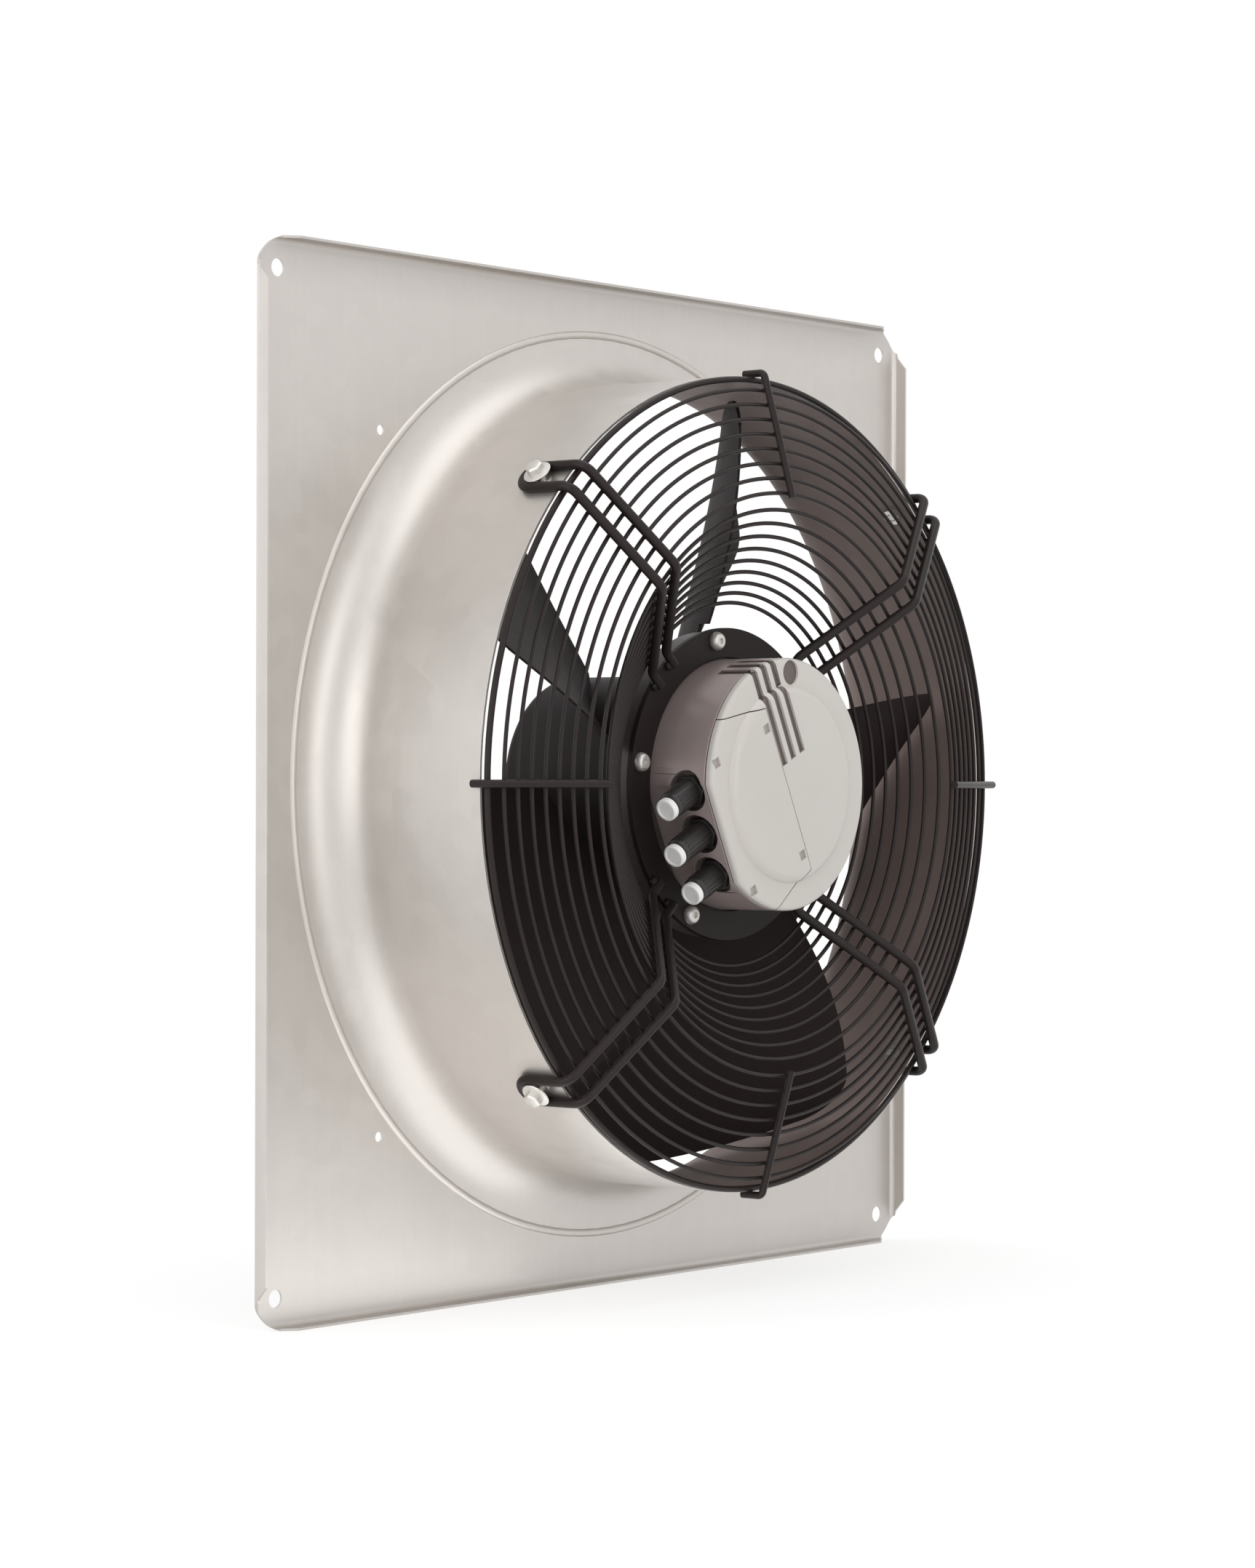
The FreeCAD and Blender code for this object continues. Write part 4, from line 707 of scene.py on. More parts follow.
def grown(name, tree, seeds, material, **inputs):
    """Plain piece that a tree makes from a mesh of seeds."""
    piece = new_piece(name, seeds, material)
    modifier = piece.modifiers.new("recipe", "NODES")
    modifier.node_group = tree
    set_input(modifier, "Material", material)
    for label, value in inputs.items():
        set_input(modifier, label.replace("_", " "), value)
    graph = bpy.context.evaluated_depsgraph_get()
    graph.update()
    mesh = bpy.data.meshes.new_from_object(piece.evaluated_get(graph), depsgraph=graph)
    piece.modifiers.remove(modifier)
    piece.data = mesh
    bpy.data.meshes.remove(seeds)
    mesh.name = name
    return piece


def seeds_at(places, **attributes):
    """Mesh of loose points, with an attribute for each list of numbers or of vectors."""
    mesh = bpy.data.meshes.new("seeds")
    mesh.from_pydata([tuple(place) for place in places], [], [])
    for name, values in attributes.items():
        if isinstance(values[0], float):
            mesh.attributes.new(name, "FLOAT", "POINT").data.foreach_set("value", values)
        else:
            flat = [number for value in values for number in value]
            mesh.attributes.new(name, "FLOAT_VECTOR", "POINT").data.foreach_set("vector", flat)
    return mesh


def smooth_shading():
    """Tree that joins a node's loose faces and shades them smooth up to the crease angle."""
    recipe = Recipe("smooth_shading", Crease="Float")
    whole = recipe.node("GeometryNodeMergeByDistance", {},
                        {"Geometry": recipe.start["Geometry"], "Distance": 0.01 * MM})
    faces = recipe.node("GeometryNodeSetShadeSmooth", {"domain": "FACE"},
                        {"Geometry": whole, "Shade Smooth": True})
    turn = recipe.node("GeometryNodeInputMeshEdgeAngle", {}, {}, "Unsigned Angle")
    soft = recipe.node("FunctionNodeCompare", {"operation": "LESS_EQUAL", "data_type": "FLOAT"},
                       {"A": turn, "B": recipe.start["Crease"]})
    edges = recipe.node("GeometryNodeSetShadeSmooth", {"domain": "EDGE"},
                        {"Geometry": faces, "Shade Smooth": soft})
    recipe.tree.links.new(edges, recipe.end["Geometry"])
    return recipe.tree


def wire_rings():
    """Tree that bends a round wire into a ring about the fan's axis at every seed, by its reach."""
    recipe = Recipe("wire_rings", Thickness="Float", Sides="Int", Steps="Int", Material="Material")
    flat = recipe.node("GeometryNodeCurvePrimitiveCircle", {"mode": "RADIUS"},
                       {"Resolution": recipe.start["Steps"], "Radius": 1.0})
    upright = recipe.node("GeometryNodeTransform", {},
                          {"Geometry": flat, "Rotation": (math.pi / 2, 0.0, 0.0)})
    reach = recipe.node("GeometryNodeInputNamedAttribute", {"data_type": "FLOAT"}, {"Name": "reach"})
    hoops = recipe.node("GeometryNodeInstanceOnPoints", {},
                        {"Points": recipe.start["Geometry"], "Instance": upright, "Scale": reach})
    lines = recipe.node("GeometryNodeRealizeInstances", {}, {"Geometry": hoops})
    half = recipe.node("ShaderNodeMath", {"operation": "MULTIPLY"}, {0: recipe.start["Thickness"], 1: 0.5})
    section = recipe.node("GeometryNodeCurvePrimitiveCircle", {"mode": "RADIUS"},
                          {"Resolution": recipe.start["Sides"], "Radius": half})
    wires = recipe.node("GeometryNodeCurveToMesh", {}, {"Curve": lines, "Profile Curve": section})
    smooth = recipe.node("GeometryNodeSetShadeSmooth", {}, {"Geometry": wires, "Shade Smooth": True})
    return recipe.close(smooth)


def weld_beads():
    """Tree that sets a slightly uneven bead of weld on every seed."""
    recipe = Recipe("weld_beads", Size="Float", Seed="Int", Material="Material")
    bead = recipe.node("GeometryNodeMeshIcoSphere", {}, {"Radius": recipe.start["Size"], "Subdivisions": 2})
    share = recipe.node("FunctionNodeRandomValue", {"data_type": "FLOAT"},
                        {2: 0.82, 3: 1.18, "Seed": recipe.start["Seed"]}, 1)
    beads = recipe.node("GeometryNodeInstanceOnPoints", {},
                        {"Points": recipe.start["Geometry"], "Instance": bead, "Scale": share})
    smooth = recipe.node("GeometryNodeSetShadeSmooth", {}, {"Geometry": beads, "Shade Smooth": True})
    return recipe.close(smooth)


def set_hardware():
    """Tree that sets a copy of a pattern object on every seed, its +Z turned to the seed's facing."""
    recipe = Recipe("set_hardware", Pattern="Object", Material="Material")
    pattern = recipe.node("GeometryNodeObjectInfo", {}, {"Object": recipe.start["Pattern"]}, "Geometry")
    ahead = recipe.node("GeometryNodeInputNamedAttribute", {"data_type": "FLOAT_VECTOR"}, {"Name": "facing"})
    turn = recipe.node("FunctionNodeAlignRotationToVector", {"axis": "Z"}, {"Vector": ahead})
    copies = recipe.node("GeometryNodeInstanceOnPoints", {},
                         {"Points": recipe.start["Geometry"], "Instance": pattern, "Rotation": turn})
    return recipe.close(copies)


def recipe_tree(make):
    """The tree that a function makes, made once."""
    return bpy.data.node_groups.get(make.__name__) or make()


def hardware(name, pattern_mesh, places, directions, material):
    """Copies of one small part at several places, as one plain piece."""
    pattern = bpy.data.objects.new("pattern", pattern_mesh)
    seeds = seeds_at(places, facing=[tuple(direction) for direction in directions])
    piece = grown(name, recipe_tree(set_hardware), seeds, material, Pattern=pattern)
    bpy.data.objects.remove(pattern)
    bpy.data.meshes.remove(pattern_mesh)
    return piece


# Wall plate

class FAN_OT_wall_plate(bpy.types.Operator):
    """Galvanised plate with its drawn nozzle"""

    bl_idname = "fan.wall_plate"
    bl_label = "Wall plate"

    def execute(self, context):
        paint(galvanised_sheet(), "wall_plate")
        paint(plated_steel("rivet_nut_zinc", colours().zinc, 0.36), "guard_rivet_nuts")
        return {"FINISHED"}


# Guard

def ring_places(node):
    """Reach and height along Y of every ring of a node, from the innermost outwards."""
    points = node_points(node)
    reach = np.hypot(points[:, 0], points[:, 2])
    order = np.argsort(reach)
    gaps = np.flatnonzero(np.diff(reach[order]) > 1.0 * MM)
    rings = np.split(order, gaps + 1)
    found = []
    for ring in rings:
        middle = (reach[ring].min() + reach[ring].max()) / 2
        level = (points[ring, 1].min() + points[ring, 1].max()) / 2
        found.append((float(middle), float(level)))
    return found


def ring_wire(node):
    """Thickness of a node's wire, from its depth along Y at the outermost ring."""
    points = node_points(node)
    reach = np.hypot(points[:, 0], points[:, 2])
    outer = points[reach > reach.max() - 2.0 * MM]
    return float(outer[:, 1].max() - outer[:, 1].min())


def beside(out):
    """Direction square to an outward one and to the fan's axis."""
    return Vector((-out.z, 0, out.x))


def arm_direction(name):
    """Outward direction of an arm, half-way between two sides of the plate."""
    low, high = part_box(f"{name}_guard_arm")
    middle = (low + high) / 2
    return Vector((math.copysign(1, middle.x), 0, math.copysign(1, middle.z))).normalized()


def arm_spread():
    """Distance of an arm's two rods from the arm's middle line."""
    out = arm_direction("upper_right")
    reach = np.abs(node_points("upper_right_guard_arm") @ np.array(beside(out))).max()
    return float(reach) - sizes().arm_rod / 2


def crossing(out, sideways, reach, level):
    """Place where a ring passes a rod that runs outwards at a sideways distance."""
    along = math.sqrt(reach ** 2 - sideways ** 2)
    return out * along + beside(out) * sideways + Vector((0, level, 0))


class FAN_OT_wire_guard(bpy.types.Operator):
    """Rings, arms and stiffeners of the black wire guard, with their welds"""

    bl_idname = "fan.wire_guard"
    bl_label = "Wire guard"

    def execute(self, context):
        coat = black_coat("coated_wire", colours().wire, 0.36, 0.10)
        rings = {}
        for node in ("guard_outer_slope_rings", "guard_inner_slope_rings", "guard_outer_ring"):
            rings[node] = ring_places(node)
            seeds = seeds_at([(0, level, 0) for _, level in rings[node]],
                             reach=[reach for reach, _ in rings[node]])
            piece = grown(
                node.replace("_ring", "_wire"), recipe_tree(wire_rings), seeds, coat,
                Thickness=ring_wire(node), Sides=sizes().wire_sides, Steps=sizes().wire_steps)
            dress(piece, FIXED, "black_coated_wire", node)
        paint(coat, *(f"{name}_guard_arm" for name in ARMS))
        paint(coat, *(f"{name}_guard_stiffener" for name in STIFFENERS))
        self.weld(rings, coat)
        return {"FINISHED"}

    def weld(self, rings, coat):
        """Beads where the rings cross the arms and the stiffeners, and along the arms' feet."""
        outer = rings["guard_outer_slope_rings"]
        slopes = outer + rings["guard_inner_slope_rings"]
        wire = ring_wire("guard_outer_slope_rings")
        lift = Vector((0, -wire / 2, 0))
        spread = arm_spread()
        places = []
        feet = []
        for name in ARMS:
            out = arm_direction(name)
            for side in (-spread, spread):
                places += [crossing(out, side, reach, level) + lift for reach, level in slopes]
                feet += self.foot(out, side)
        for name in STIFFENERS:
            low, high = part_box(f"{name}_guard_stiffener")
            out = Vector(((low.x + high.x) / 2, 0, (low.z + high.z) / 2)).normalized()
            places += [crossing(out, 0, reach, level) + lift for reach, level in outer]
        welds = (("guard_welds", places, sizes().weld), ("foot_welds", feet, sizes().foot_weld))
        for label, spots, size in welds:
            piece = grown(label, recipe_tree(weld_beads), seeds_at(spots), coat, Size=size, Seed=7)
            dress(piece, FIXED, "black_coated_wire")

    def foot(self, out, side):
        """Beads on both sides of one foot, where it lies on the flange ring."""
        ring_low, ring_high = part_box("flange_ring")
        arm = node_points("upper_right_guard_arm") @ np.array(arm_direction("upper_right"))
        start = float(arm.min())
        pitch = sizes().foot_weld_pitch
        apart = sizes().arm_rod * 0.45
        sunk = Vector((0, ring_low.y - sizes().foot_weld * 0.4, 0))
        beads = []
        for index in range(int((ring_high.x - start) / pitch)):
            along = start + (index + 1) * pitch
            for sideways in (side - apart, side + apart):
                beads.append(out * along + beside(out) * sideways + sunk)
        return beads


# Screws

def hexagon_block(width, levels, rounding):
    """Closed hexagon block with rounded edges, by its width across flats.

    Its levels hold the height of each ring of corners, and the share of the width there.
    """
    radius = width / math.sqrt(3)
    corners = [(radius * math.cos(math.pi / 3 * k), radius * math.sin(math.pi / 3 * k)) for k in range(6)]
    shape = bmesh.new()
    rings = [[shape.verts.new((x * share, y * share, height)) for x, y in corners]
             for height, share in levels]
    for first, second in zip(rings, rings[1:]):
        bridge(shape, first, second)
    shape.faces.new(rings[0])
    shape.faces.new(rings[-1])
    bmesh.ops.recalc_face_normals(shape, faces=shape.faces)
    least_turn = 0.3
    edges = [edge for edge in shape.edges if edge.calc_face_angle(0) > least_turn]
    bmesh.ops.bevel(shape, geom=edges, offset=rounding, segments=2, affect="EDGES", profile=0.5)
    return to_mesh(shape)


def socket_head(seat, radius, height, shank, socket):
    """Round-headed screw from the origin along +Z; its head, with a hexagon socket, stands on the seat."""
    top = seat + height
    floor_level = top - height * 0.30
    shaft = [(0.0, 0.0), (0.0, shank * 0.85), (shank * 0.2, shank), (seat, shank)]
    side = [(seat, radius * 0.97), (seat + height * 0.10, radius)]
    turns = (math.pi / 2 * step / 7 for step in range(1, 8))
    dome = [(seat + height * (0.10 + 0.90 * math.sin(t)), radius * (0.58 + 0.42 * math.cos(t)))
            for t in turns]
    outside = lathe([*shaft, *side, *dome, (top, socket * 0.62)], 24)
    shape = bmesh.new()
    shape.from_mesh(outside)
    bpy.data.meshes.remove(outside)
    open_verts = {vert for edge in shape.edges if edge.is_boundary for vert in edge.verts}
    rim = sorted(open_verts, key=lambda vert: math.atan2(vert.co.y, vert.co.x))
    mouth = [shape.verts.new(socket_corner(vert, socket, top)) for vert in rim]
    floor = [shape.verts.new((vert.co.x, vert.co.y, floor_level)) for vert in mouth]
    bridge(shape, rim, mouth)
    bridge(shape, mouth, floor)
    middle = shape.verts.new((0.0, 0.0, floor_level))
    for first, second in zip(floor, floor[1:] + floor[:1]):
        shape.faces.new([first, second, middle])
    bmesh.ops.recalc_face_normals(shape, faces=shape.faces)
    return to_mesh(shape)


def socket_corner(vert, socket, height):
    """Point of the hexagon's outline in the direction of a rim point."""
    angle = math.atan2(vert.co.y, vert.co.x)
    within = (angle + math.pi / 6) % (math.pi / 3) - math.pi / 6
    reach = socket / 2 / math.cos(within)
    return reach * math.cos(angle), reach * math.sin(angle), height


def flange_bolt(seat, flange, flange_height, head, head_height, shank):
    """Hexagon bolt from the origin along +Z whose head stands on a domed flange on the seat."""
    head_seat = seat + flange_height
    top = head_seat + head_height
    disc = lathe([
        (0.0, 0.0), (0.0, shank * 0.8), (shank * 0.3, shank), (seat, shank), (seat, flange * 0.96),
        (seat + flange_height * 0.35, flange), (seat + flange_height * 0.6, flange * 0.97),
        (head_seat, head * 0.95), (head_seat, 0.0),
    ], 32)
    levels = ((seat + flange_height * 0.5, 1.0), (top - head_height * 0.22, 1.0), (top, 0.84))
    return joined([disc, hexagon_block(2 * head * 0.9, levels, 0.25 * MM)])


def solids_of(node):
    """Points of every separate solid of a node that lies round the fan's axis, sorted by its turn."""
    points = node_points(node)
    turn = np.arctan2(points[:, 2], points[:, 0])
    order = np.argsort(turn)
    least_gap = math.radians(4)
    gaps = np.flatnonzero(np.diff(turn[order]) > least_gap)
    groups = [points[group] for group in np.split(order, gaps + 1)]
    if len(groups) > 1 and turn.min() + 2 * math.pi - turn.max() < least_gap:
        groups[0] = np.vstack([groups[0], groups.pop()])
    return groups


class FAN_OT_screws(bpy.types.Operator):
    """Zinc-plated screws of the guard, the flange ring and the hub"""

    bl_idname = "fan.screws"
    bl_label = "Screws"

    def execute(self, context):
        zinc = plated_steel("zinc_plating", colours().zinc, 0.46)
        self.guard_bolts(zinc)
        self.axial_screws("flange_screw_heads", "flange_screws", -1, FIXED, zinc,
                          sizes().flange_screw_height, sizes().flange_screw_shank)
        self.axial_screws("hub_screw_heads", "hub_screws", 1, TURNING, zinc,
                          sizes().hub_screw_height, sizes().hub_screw_shank)
        return {"FINISHED"}

    def guard_bolts(self, zinc):
        """Flanged bolts through the arms' ends, whose heads point outwards."""
        places, directions, lengths = [], [], []
        for solid in solids_of("guard_screws"):
            middle = (solid.min(0) + solid.max(0)) / 2
            out = Vector((middle[0], 0, middle[2])).normalized()
            reach = solid @ np.array(out)
            places.append(out * float(reach.min()) + Vector((0, float(middle[1]), 0)))
            directions.append(out)
            lengths.append(float(reach.max() - reach.min()))
        low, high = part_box("guard_screws")
        head_height, flange_height = sizes().bolt_head_height, sizes().bolt_flange_height
        seat = lengths[0] - head_height - flange_height
        bolt = flange_bolt(
            seat, (high.y - low.y) / 2, flange_height, sizes().bolt_head, head_height, sizes().bolt_shank)
        piece = hardware("guard_bolts", bolt, places, directions, zinc)
        dress(piece, FIXED, "zinc_fastener", "guard_screws")

    def axial_screws(self, name, node, way, body, zinc, height, shank):
        """Socket screws along the fan's axis; way is the side of Y to which their heads point."""
        solids = solids_of(node)
        spans = [(solid.min(0), solid.max(0)) for solid in solids]
        low, high = spans[0]
        reaches = [np.hypot(solid[:, 0], solid[:, 2]) for solid in solids]
        radius = sum(float(reach.max() - reach.min()) for reach in reaches) / len(reaches) / 2
        seat = float(high[1] - low[1]) - height
        screw = socket_head(seat, radius, height, shank, sizes().socket_share * radius)
        end = low[1] if way > 0 else high[1]
        places = [((a[0] + b[0]) / 2, end, (a[2] + b[2]) / 2) for a, b in spans]
        piece = hardware(name, screw, places, [(0, way, 0)] * len(places), zinc)
        dress(piece, body, "zinc_fastener", node)


# Impeller, motor and electronics

class FAN_OT_impeller(bpy.types.Operator):
    """Black blades and the hub that they stand on"""

    bl_idname = "fan.impeller"
    bl_label = "Impeller"

    def execute(self, context):
        blades = black_coat("coated_blade", colours().blade, 0.62, 0.16, 0.09)
        paint(blades, *(f"fan_blade_{index}" for index in range(1, 6)))
        rotor = black_coat("dark_rotor", colours().rotor, 0.56, 0.10, 0.12)
        paint(rotor, "impeller_hub", "rotor_can", rounded=True)
        return {"FINISHED"}


class FAN_OT_motor(bpy.types.Operator):
    """Motor flange, stator, magnets, shaft and bearings"""

    bl_idname = "fan.motor"
    bl_label = "Motor"

    def execute(self, context):
        paint(black_coat("coated_flange", colours().flange, 0.46, 0.08, 0.14), "flange_ring", rounded=True)
        paint(cast_metal("blasted_casting", colours().casting, 0.48, 0.3), "motor_flange")
        paint(core_laminations(), "stator_core")
        paint(copper_winding(), "stator_coils", "winding_leads")
        paint(sintered_magnet(), "rotor_magnets")
        steel = plated_steel("ground_steel", colours().steel, 0.16, 900.0)
        paint(steel, "rotor_shaft", *(f"{name}_bearing_{part}" for name in BEARINGS
                                      for part in ("outer_race", "inner_race", "balls")))
        paint(moulded_plastic("bearing_cage_plastic", colours().cage, 0.5),
              *(f"{name}_bearing_cage" for name in BEARINGS))
        dark_steel = tuple(0.32 * channel for channel in colours().steel)
        paint(plated_steel("spring_steel", dark_steel, 0.34),
              "bearing_spring", "bearing_circlip", "shaft_circlip")
        return {"FINISHED"}


def cover_shade(finish):
    """Mask of painted shade: 1 on the sunk faces of the covers' slots, and 0.4 on their clip windows."""
    _, depth, _ = finish.axes()
    disc_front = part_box("front_cover")[0].y
    flat_radius, step = cover_disc()
    shoulder = sizes().cover_shoulder
    shoulder_round = (shoulder ** 2 + step ** 2) / (2 * step)
    run = (finish.from_axis() - flat_radius).within(0.0, shoulder)
    drop = shoulder_round - (shoulder_round ** 2 - run * run) ** 0.5
    sunk = depth - drop - disc_front
    slot_depth, window_low, window_high, window_shade = 0.15 * MM, 0.5 * MM, 2.0 * MM, 0.4
    slots = slot_lanes(finish) * sunk.above(slot_depth)
    windows = sunk.above(window_low) * sunk.below(window_high) * finish.frontward().above(0.9)
    return slots.maths("MAXIMUM", slots, windows * window_shade)


def cover_disc():
    """Radius of the flat front of the cover's disc, and the disc's height over the rim."""
    points = node_points("front_cover")
    apart = np.hypot(points[:, 0], points[:, 2])
    front = points[:, 1].min()
    flat_radius = float(apart[points[:, 1] < front + 0.02 * MM].max())
    rim = points[apart > flat_radius + sizes().cover_shoulder - 0.1 * MM]
    return flat_radius, float(rim[:, 1].min() - front)


def housing_slots(finish):
    """Mask of painted shade: 1 in the grooves of the housing's wall, in line with the cover's slots."""
    _, depth, _ = finish.axes()
    low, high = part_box("electronics_housing")
    wall, groove_end = high.x - 0.1 * MM, low.y + 22.0 * MM
    return slot_lanes(finish) * finish.from_axis().below(wall) * depth.below(groove_end)


def gland_wells(finish):
    """Mask of painted shade: 1 on the floors and walls of the recesses that the glands stand in."""
    out, places = gland_axes()
    along = beside(out)
    across, depth, up = finish.axes()
    reach = across * out.x + up * out.z
    sideways = across * along.x + up * along.z
    radius = sizes().gland_well / 2 + 0.1 * MM
    wells = 0.0
    for place in places:
        apart = (sideways - place.dot(along)) ** 2.0 + (depth - place.y) ** 2.0
        wells = apart.below(radius ** 2) + wells
    face = float((node_points("electronics_housing") @ np.array(out)).max())
    well_mouth, well_floor = face - 0.3 * MM, face - 9.0 * MM
    return wells * reach.below(well_mouth) * reach.above(well_floor)


def gland_axes():
    """Direction in which the glands point, and a place on the axis of each."""
    places = [sum(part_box(f"{name}_gland_plug"), Vector()) / 2 for name in GLANDS]
    along = (places[0] - places[-1]).normalized()
    square = Vector((-along.z, 0, along.x))
    return (square if square.dot(places[0]) > 0 else -square), places


def housing_shade(finish):
    """Mask of painted shade: 1 in the housing's grooves and in the glands' recesses."""
    slots = housing_slots(finish)
    return slots.maths("MAXIMUM", slots, gland_wells(finish))


class FAN_OT_housing(bpy.types.Operator):
    """Electronics housing, its covers and what it holds"""

    bl_idname = "fan.housing"
    bl_label = "Electronics housing"

    def execute(self, context):
        casting = cast_metal("housing_casting", colours().housing, 0.36, 0.25, housing_shade)
        paint(casting, "electronics_housing", rounded=True)
        cover = moulded_plastic("pale_cover", colours().cover, 0.34, painted_shade=cover_shade)
        paint(cover, "front_cover", "terminal_cover", rounded=True)
        paint(moulded_plastic("access_plug_plastic", colours().slot, 0.5), "access_plug")
        paint(soft_rubber(), "cover_seal", "gland_seals")
        paint(lacquered_board(), "circuit_board")
        paint(moulded_plastic("capacitor_sleeve", colours().rubber, 0.25), "capacitors")
        paint(moulded_plastic("terminal_plastic", colours().terminal, 0.48),
              "terminal_block", "board_spacers")
        return {"FINISHED"}


# Cable glands

def grip_ribs():
    """Tree that sets upright ribs round a cap, from a seed at the cap's foot."""
    recipe = Recipe(
        "grip_ribs", Count="Int", Reach="Float", Length="Float", Width="Float", Material="Material")
    ring = recipe.node("GeometryNodeMeshCircle", {"fill_type": "NONE"},
                       {"Vertices": recipe.start["Count"], "Radius": recipe.start["Reach"]})
    size = recipe.node("ShaderNodeCombineXYZ", {}, {
        "X": recipe.start["Width"], "Y": recipe.start["Width"], "Z": recipe.start["Length"]})
    rib = recipe.node("GeometryNodeMeshCube", {}, {"Size": size})
    outwards = recipe.node("GeometryNodeInputPosition", {}, {})
    turn = recipe.node("FunctionNodeAlignRotationToVector", {"axis": "X"}, {"Vector": outwards})
    ribs = recipe.node("GeometryNodeInstanceOnPoints", {},
                       {"Points": ring, "Instance": rib, "Rotation": turn})
    half = recipe.node("ShaderNodeMath", {"operation": "MULTIPLY"}, {0: recipe.start["Length"], 1: 0.5})
    lift = recipe.node("ShaderNodeCombineXYZ", {}, {"Z": half})
    raised = recipe.node("GeometryNodeTransform", {}, {"Geometry": ribs, "Translation": lift})
    return recipe.close(raised)


class FAN_OT_glands(bpy.types.Operator):
    """Cable glands with hexagon collars and ribbed caps, each closed by a white plug"""

    bl_idname = "fan.glands"
    bl_label = "Cable glands"

    def execute(self, context):
        black = moulded_plastic("gland_plastic", colours().gland, 0.42)
        white = moulded_plastic("plug_plastic", colours().plug, 0.40)
        paint(black, "gland_lock_nuts")
        for name in GLANDS:
            self.gland(name, black)
            self.plug(name, white)
        return {"FINISHED"}

    def line_of(self, node):
        """Outward direction of a gland, a point on its axis, and its reach from first to last along it."""
        out, _ = gland_axes()
        points = node_points(node)
        reach = points @ np.array(out)
        middle = Vector((points.min(0) + points.max(0)) / 2)
        start = middle + out * (float(reach.min()) - middle.dot(out))
        return out, start, float(reach.max() - reach.min())

    def gland(self, name, black):
        """Threaded barrel, hexagon collar and ribbed cap of one gland."""
        node = f"{name}_gland_body"
        out, start, length = self.line_of(node)
        bore, thread, collar, barrel = 5.0 * MM, 7.0 * MM, 10.5 * MM, 8.25 * MM
        chamfer, rib_foot, rib_room = 0.4 * MM, 0.8 * MM, 4.5 * MM
        collar_start, cap = self.collar(node, out, start, collar)
        body = lathe([
            (0.0, bore), (0.0, thread * 0.95), (0.6 * MM, thread), (collar_start, thread),
            (collar_start, barrel), (cap, barrel), (length - 3 * MM, barrel),
            *rounded_corner(length, barrel, 2.2 * MM),
            (length, bore + chamfer), (length - chamfer, bore), (0.0, bore),
        ], 40)
        nut = hexagon_block(2 * collar * 0.9, ((collar_start, 1.0), (cap, 1.0)), 0.5 * MM)
        ribs = grown("ribs", recipe_tree(grip_ribs), seeds_at([(0, 0, 0)]), black, Count=sizes().grip_ribs,
                     Reach=barrel - 0.1 * MM, Length=length - cap - rib_room, Width=0.9 * MM)
        rib_mesh = ribs.data
        rib_mesh.transform(Matrix.Translation((0, 0, cap + rib_foot)))
        bpy.data.objects.remove(ribs)
        mesh = joined([body, nut, rib_mesh])
        mesh.transform(facing(out, start))
        dress(new_piece(f"{name}_gland", mesh, black), FIXED, "black_gland", node)

    def collar(self, node, out, start, radius):
        """Reach of a gland's collar, from its back to its front, along the gland."""
        points = node_points(node) - np.array(start)
        reach = points @ np.array(out)
        apart = np.linalg.norm(points - np.outer(reach, np.array(out)), axis=1)
        widest = reach[apart > radius - 0.5 * MM]
        return float(widest.min()), float(widest.max())

    def plug(self, name, white):
        """Blanking plug with a raised rim round its head."""
        node = f"{name}_gland_plug"
        out, start, length = self.line_of(node)
        head_height, stem, head, chamfer = 4.5 * MM, 3.5 * MM, 7.2 * MM, 0.4 * MM
        rim, dish, dish_depth = head - 1.7 * MM, head - 2.1 * MM, 0.7 * MM
        seat = length - head_height
        mesh = lathe([
            (0.0, 0.0), (0.0, stem * 0.8), (1.0 * MM, stem), (seat, stem), (seat, head - chamfer),
            (seat + chamfer, head), *rounded_corner(length, head, 1.0 * MM),
            (length, rim), (length - dish_depth, dish), (length - dish_depth - 0.1 * MM, 0.0),
        ], 40)
        mesh.transform(facing(out, start))
        dress(new_piece(f"{name}_plug", mesh, white), FIXED, "white_plug", node)


# Studio

def studio_floor():
    """Floor that lights the object plainly, and shows its shadow on white to the camera."""
    finish = Finish("studio_floor")
    tone = studio().shadow_tone
    plain = finish.node("ShaderNodeBsdfDiffuse", {}, {"Color": (*colours().floor, 1.0)})
    shadow = finish.node("ShaderNodeBsdfDiffuse", {}, {"Color": (tone, tone, tone, 1.0)})
    glow = finish.node("ShaderNodeEmission", {}, {"Strength": studio().floor_glow})
    white = finish.node("ShaderNodeEmission", {}, {})
    shown = finish.node("ShaderNodeAddShader", {}, {0: shadow, 1: glow})
    apart = finish.node("ShaderNodeVectorMath", {"operation": "LENGTH"}, {0: finish.place()}, "Value")
    away = finish.blended(apart.ramp(studio().fade_start, studio().fade_end), shown, white)
    mirrored = finish.blended(finish.ray("Glossy"), away, white)
    return finish.show(finish.blended(finish.seen(), plain, mirrored))


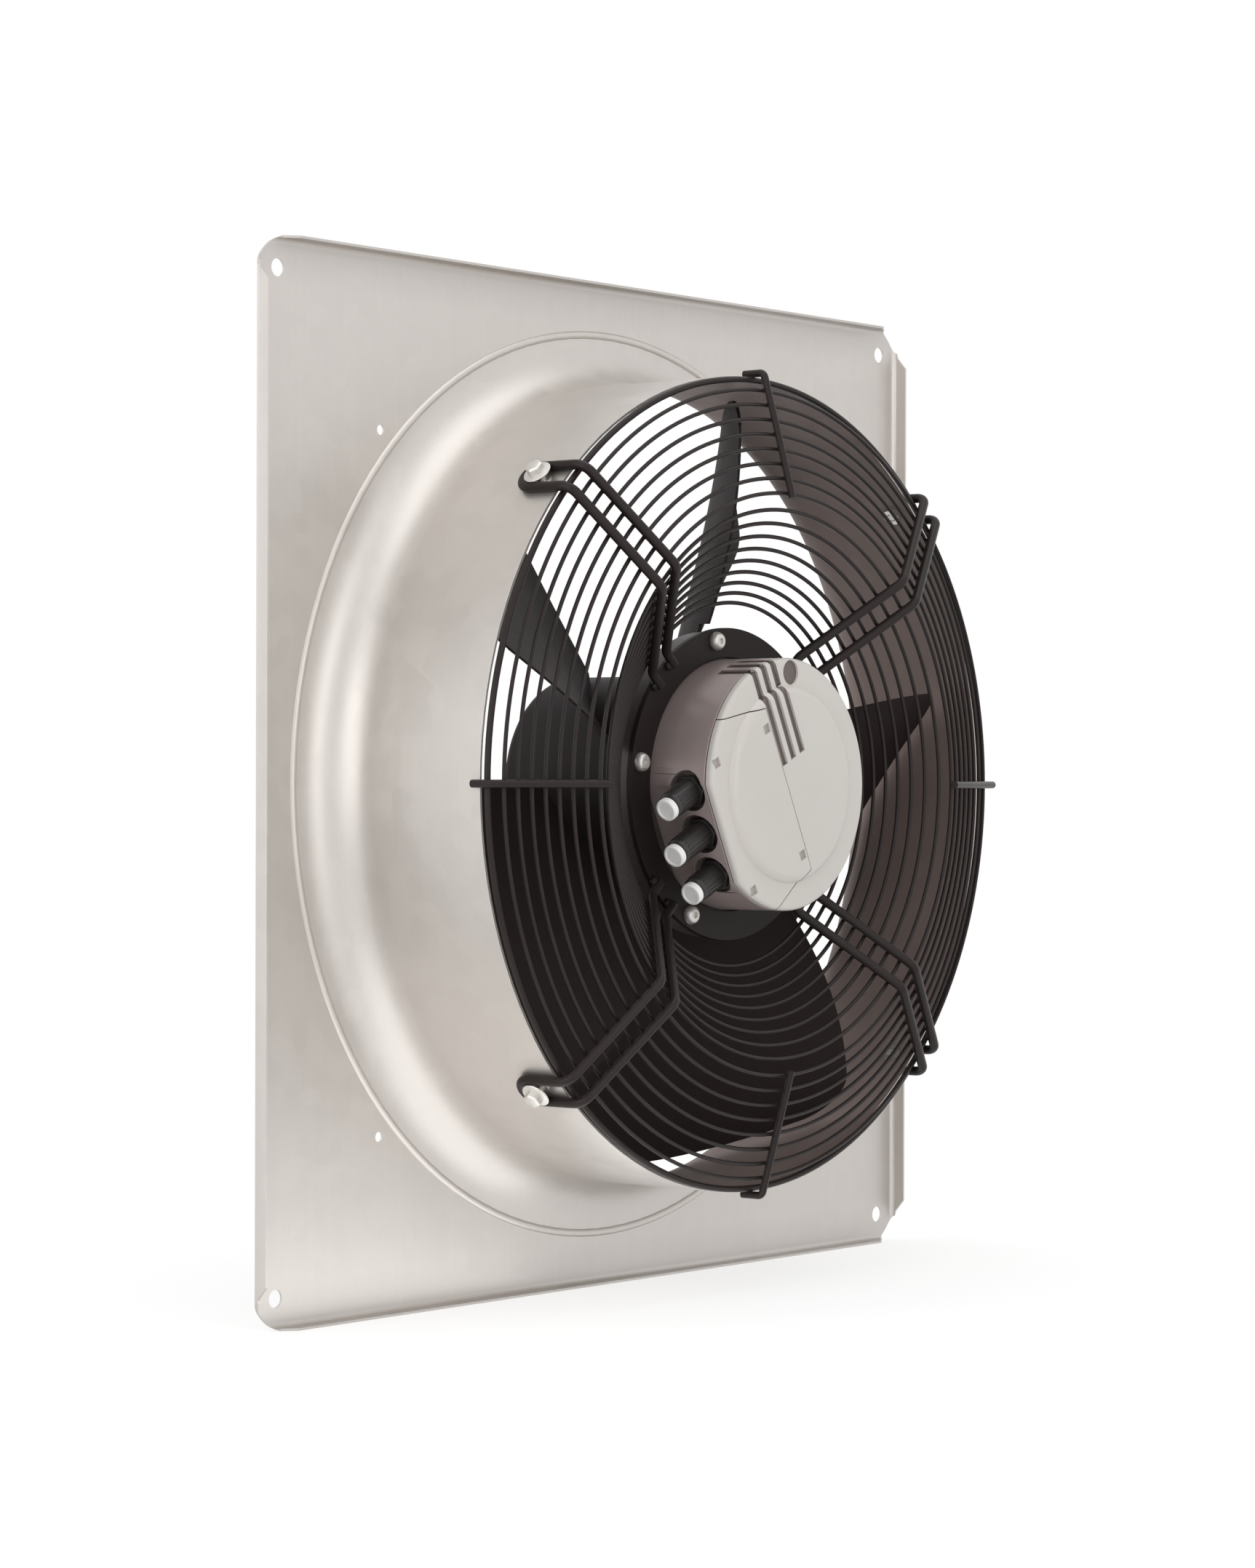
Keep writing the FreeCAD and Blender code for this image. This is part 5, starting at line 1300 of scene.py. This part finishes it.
class FAN_OT_stage(bpy.types.Operator):
    """Pale floor, soft lamps and the camera"""

    bl_idname = "fan.stage"
    bl_label = "Stage"

    def execute(self, context):
        self.camera(context)
        self.surround(context)
        self.floor()
        self.lamps(context)
        context.scene.view_settings.view_transform = "Standard"
        return {"FINISHED"}

    def axes(self):
        """Camera's right and forward directions."""
        turn = studio().turn
        right = Vector((math.cos(turn), -math.sin(turn), 0))
        forward = Vector((math.sin(turn), math.cos(turn), 0))
        return right, forward

    def camera(self, context):
        """Camera at the photograph's viewing angle."""
        right, forward = self.axes()
        lens = bpy.data.cameras.new("camera")
        lens.sensor_fit = "AUTO"
        lens.lens = lens.sensor_width / 2 / math.tan(studio().view_height / 2)
        lens.clip_end = 60.0
        camera = bpy.data.objects.new("camera", lens)
        place = right * studio().offset - forward * studio().distance
        upright = Matrix((right, (0, 0, 1), -forward)).transposed().to_4x4()
        camera.matrix_world = Matrix.Translation(place) @ upright @ Matrix.Rotation(studio().roll, 4, "Z")
        context.scene.collection.objects.link(camera)
        context.scene.camera = camera

    def surround(self, context):
        """White to look at and in reflections, at a plain level as light."""
        finish = Finish("surround", world=True)
        strength = finish.node("ShaderNodeMapRange", {}, {
            "Value": finish.seen(), "To Min": studio().surround, "To Max": 1.0})
        context.scene.world = finish.show(finish.node("ShaderNodeBackground", {}, {
            "Color": (1.0, 1.0, 1.0, 1.0), "Strength": strength}))

    def floor(self):
        """Floor under the plate's lower edge."""
        half, level = 30.0, CAD_BOX[0].z
        corners = [(-half, -half, level), (half, -half, level), (half, half, level), (-half, half, level)]
        mesh = bpy.data.meshes.new("floor")
        mesh.from_pydata(corners, [], [(0, 1, 2, 3)])
        floor = new_piece("floor", mesh, studio_floor())

    def lamps(self, context):
        """Soft lamps by place, way, width and height; one with no way given looks at the origin."""
        above_floor = CAD_BOX[0].z + 4.0 * MM
        lamps = {
            "left_lamp": ((-2.6, -0.15, 0.35), None, 2.4, 2.2),
            "near_lamp": ((-0.5, -1.9, 0.1), None, 0.7, 1.8),
            "top_lamp": ((-0.2, -0.6, 2.5), None, 3.0, 2.0),
            "floor_bounce": ((-0.26, -0.12, above_floor), (0, 0, 1), 0.42, 0.20),
            "front_lamp": ((1.7, -2.6, 0.6), None, 1.6, 1.6),
            "side_lamp": ((3.2, 0.9, 1.0), None, 1.8, 2.0),
            "back_lamp": ((-1.0, 3.2, 1.2), None, 2.4, 2.0),
        }
        for name, (place, way, width, height) in lamps.items():
            lamp = bpy.data.lights.new(name, "AREA")
            lamp.shape = "RECTANGLE"
            lamp.size = width
            lamp.size_y = height
            lamp.energy = getattr(studio(), name)
            thing = bpy.data.objects.new(name, lamp)
            thing.location = place
            look = Vector(way) if way else -Vector(place)
            thing.rotation_euler = look.to_track_quat("-Z", "Y").to_euler()
            thing.visible_camera = False
            context.scene.collection.objects.link(thing)


# Add-on

OPERATORS = (
    FAN_OT_wall_plate, FAN_OT_wire_guard, FAN_OT_screws, FAN_OT_impeller, FAN_OT_motor, FAN_OT_housing,
    FAN_OT_glands, FAN_OT_stage,
)


class FAN_PT_sidebar(bpy.types.Panel):
    """Makers of the fan's pieces, with its colours, sizes and studio"""

    bl_idname = "FAN_PT_sidebar"
    bl_label = "Axial wall fan"
    bl_space_type = "VIEW_3D"
    bl_region_type = "UI"
    bl_category = "Fan"

    def draw(self, context):
        for operator in OPERATORS:
            self.layout.operator(operator.bl_idname)
        for group in (context.scene.fan_colours, context.scene.fan_sizes, context.scene.fan_studio):
            box = self.layout.box()
            for name in type(group).__annotations__:
                box.prop(group, name)


GROUPS = {"fan_colours": FanColours, "fan_sizes": FanSizes, "fan_studio": FanStudio}
CLASSES = (*GROUPS.values(), *OPERATORS, FAN_PT_sidebar)


def register():
    for each in CLASSES:
        bpy.utils.register_class(each)
    for name, group in GROUPS.items():
        setattr(bpy.types.Scene, name, bpy.props.PointerProperty(type=group))


def unregister():
    for name in GROUPS:
        delattr(bpy.types.Scene, name)
    for each in reversed(CLASSES):
        bpy.utils.unregister_class(each)


def main():
    """Make every piece in order."""
    register()
    for operator in OPERATORS:
        module, name = operator.bl_idname.split(".")
        getattr(getattr(bpy.ops, module), name)()


if __name__ == "__main__":
    main()
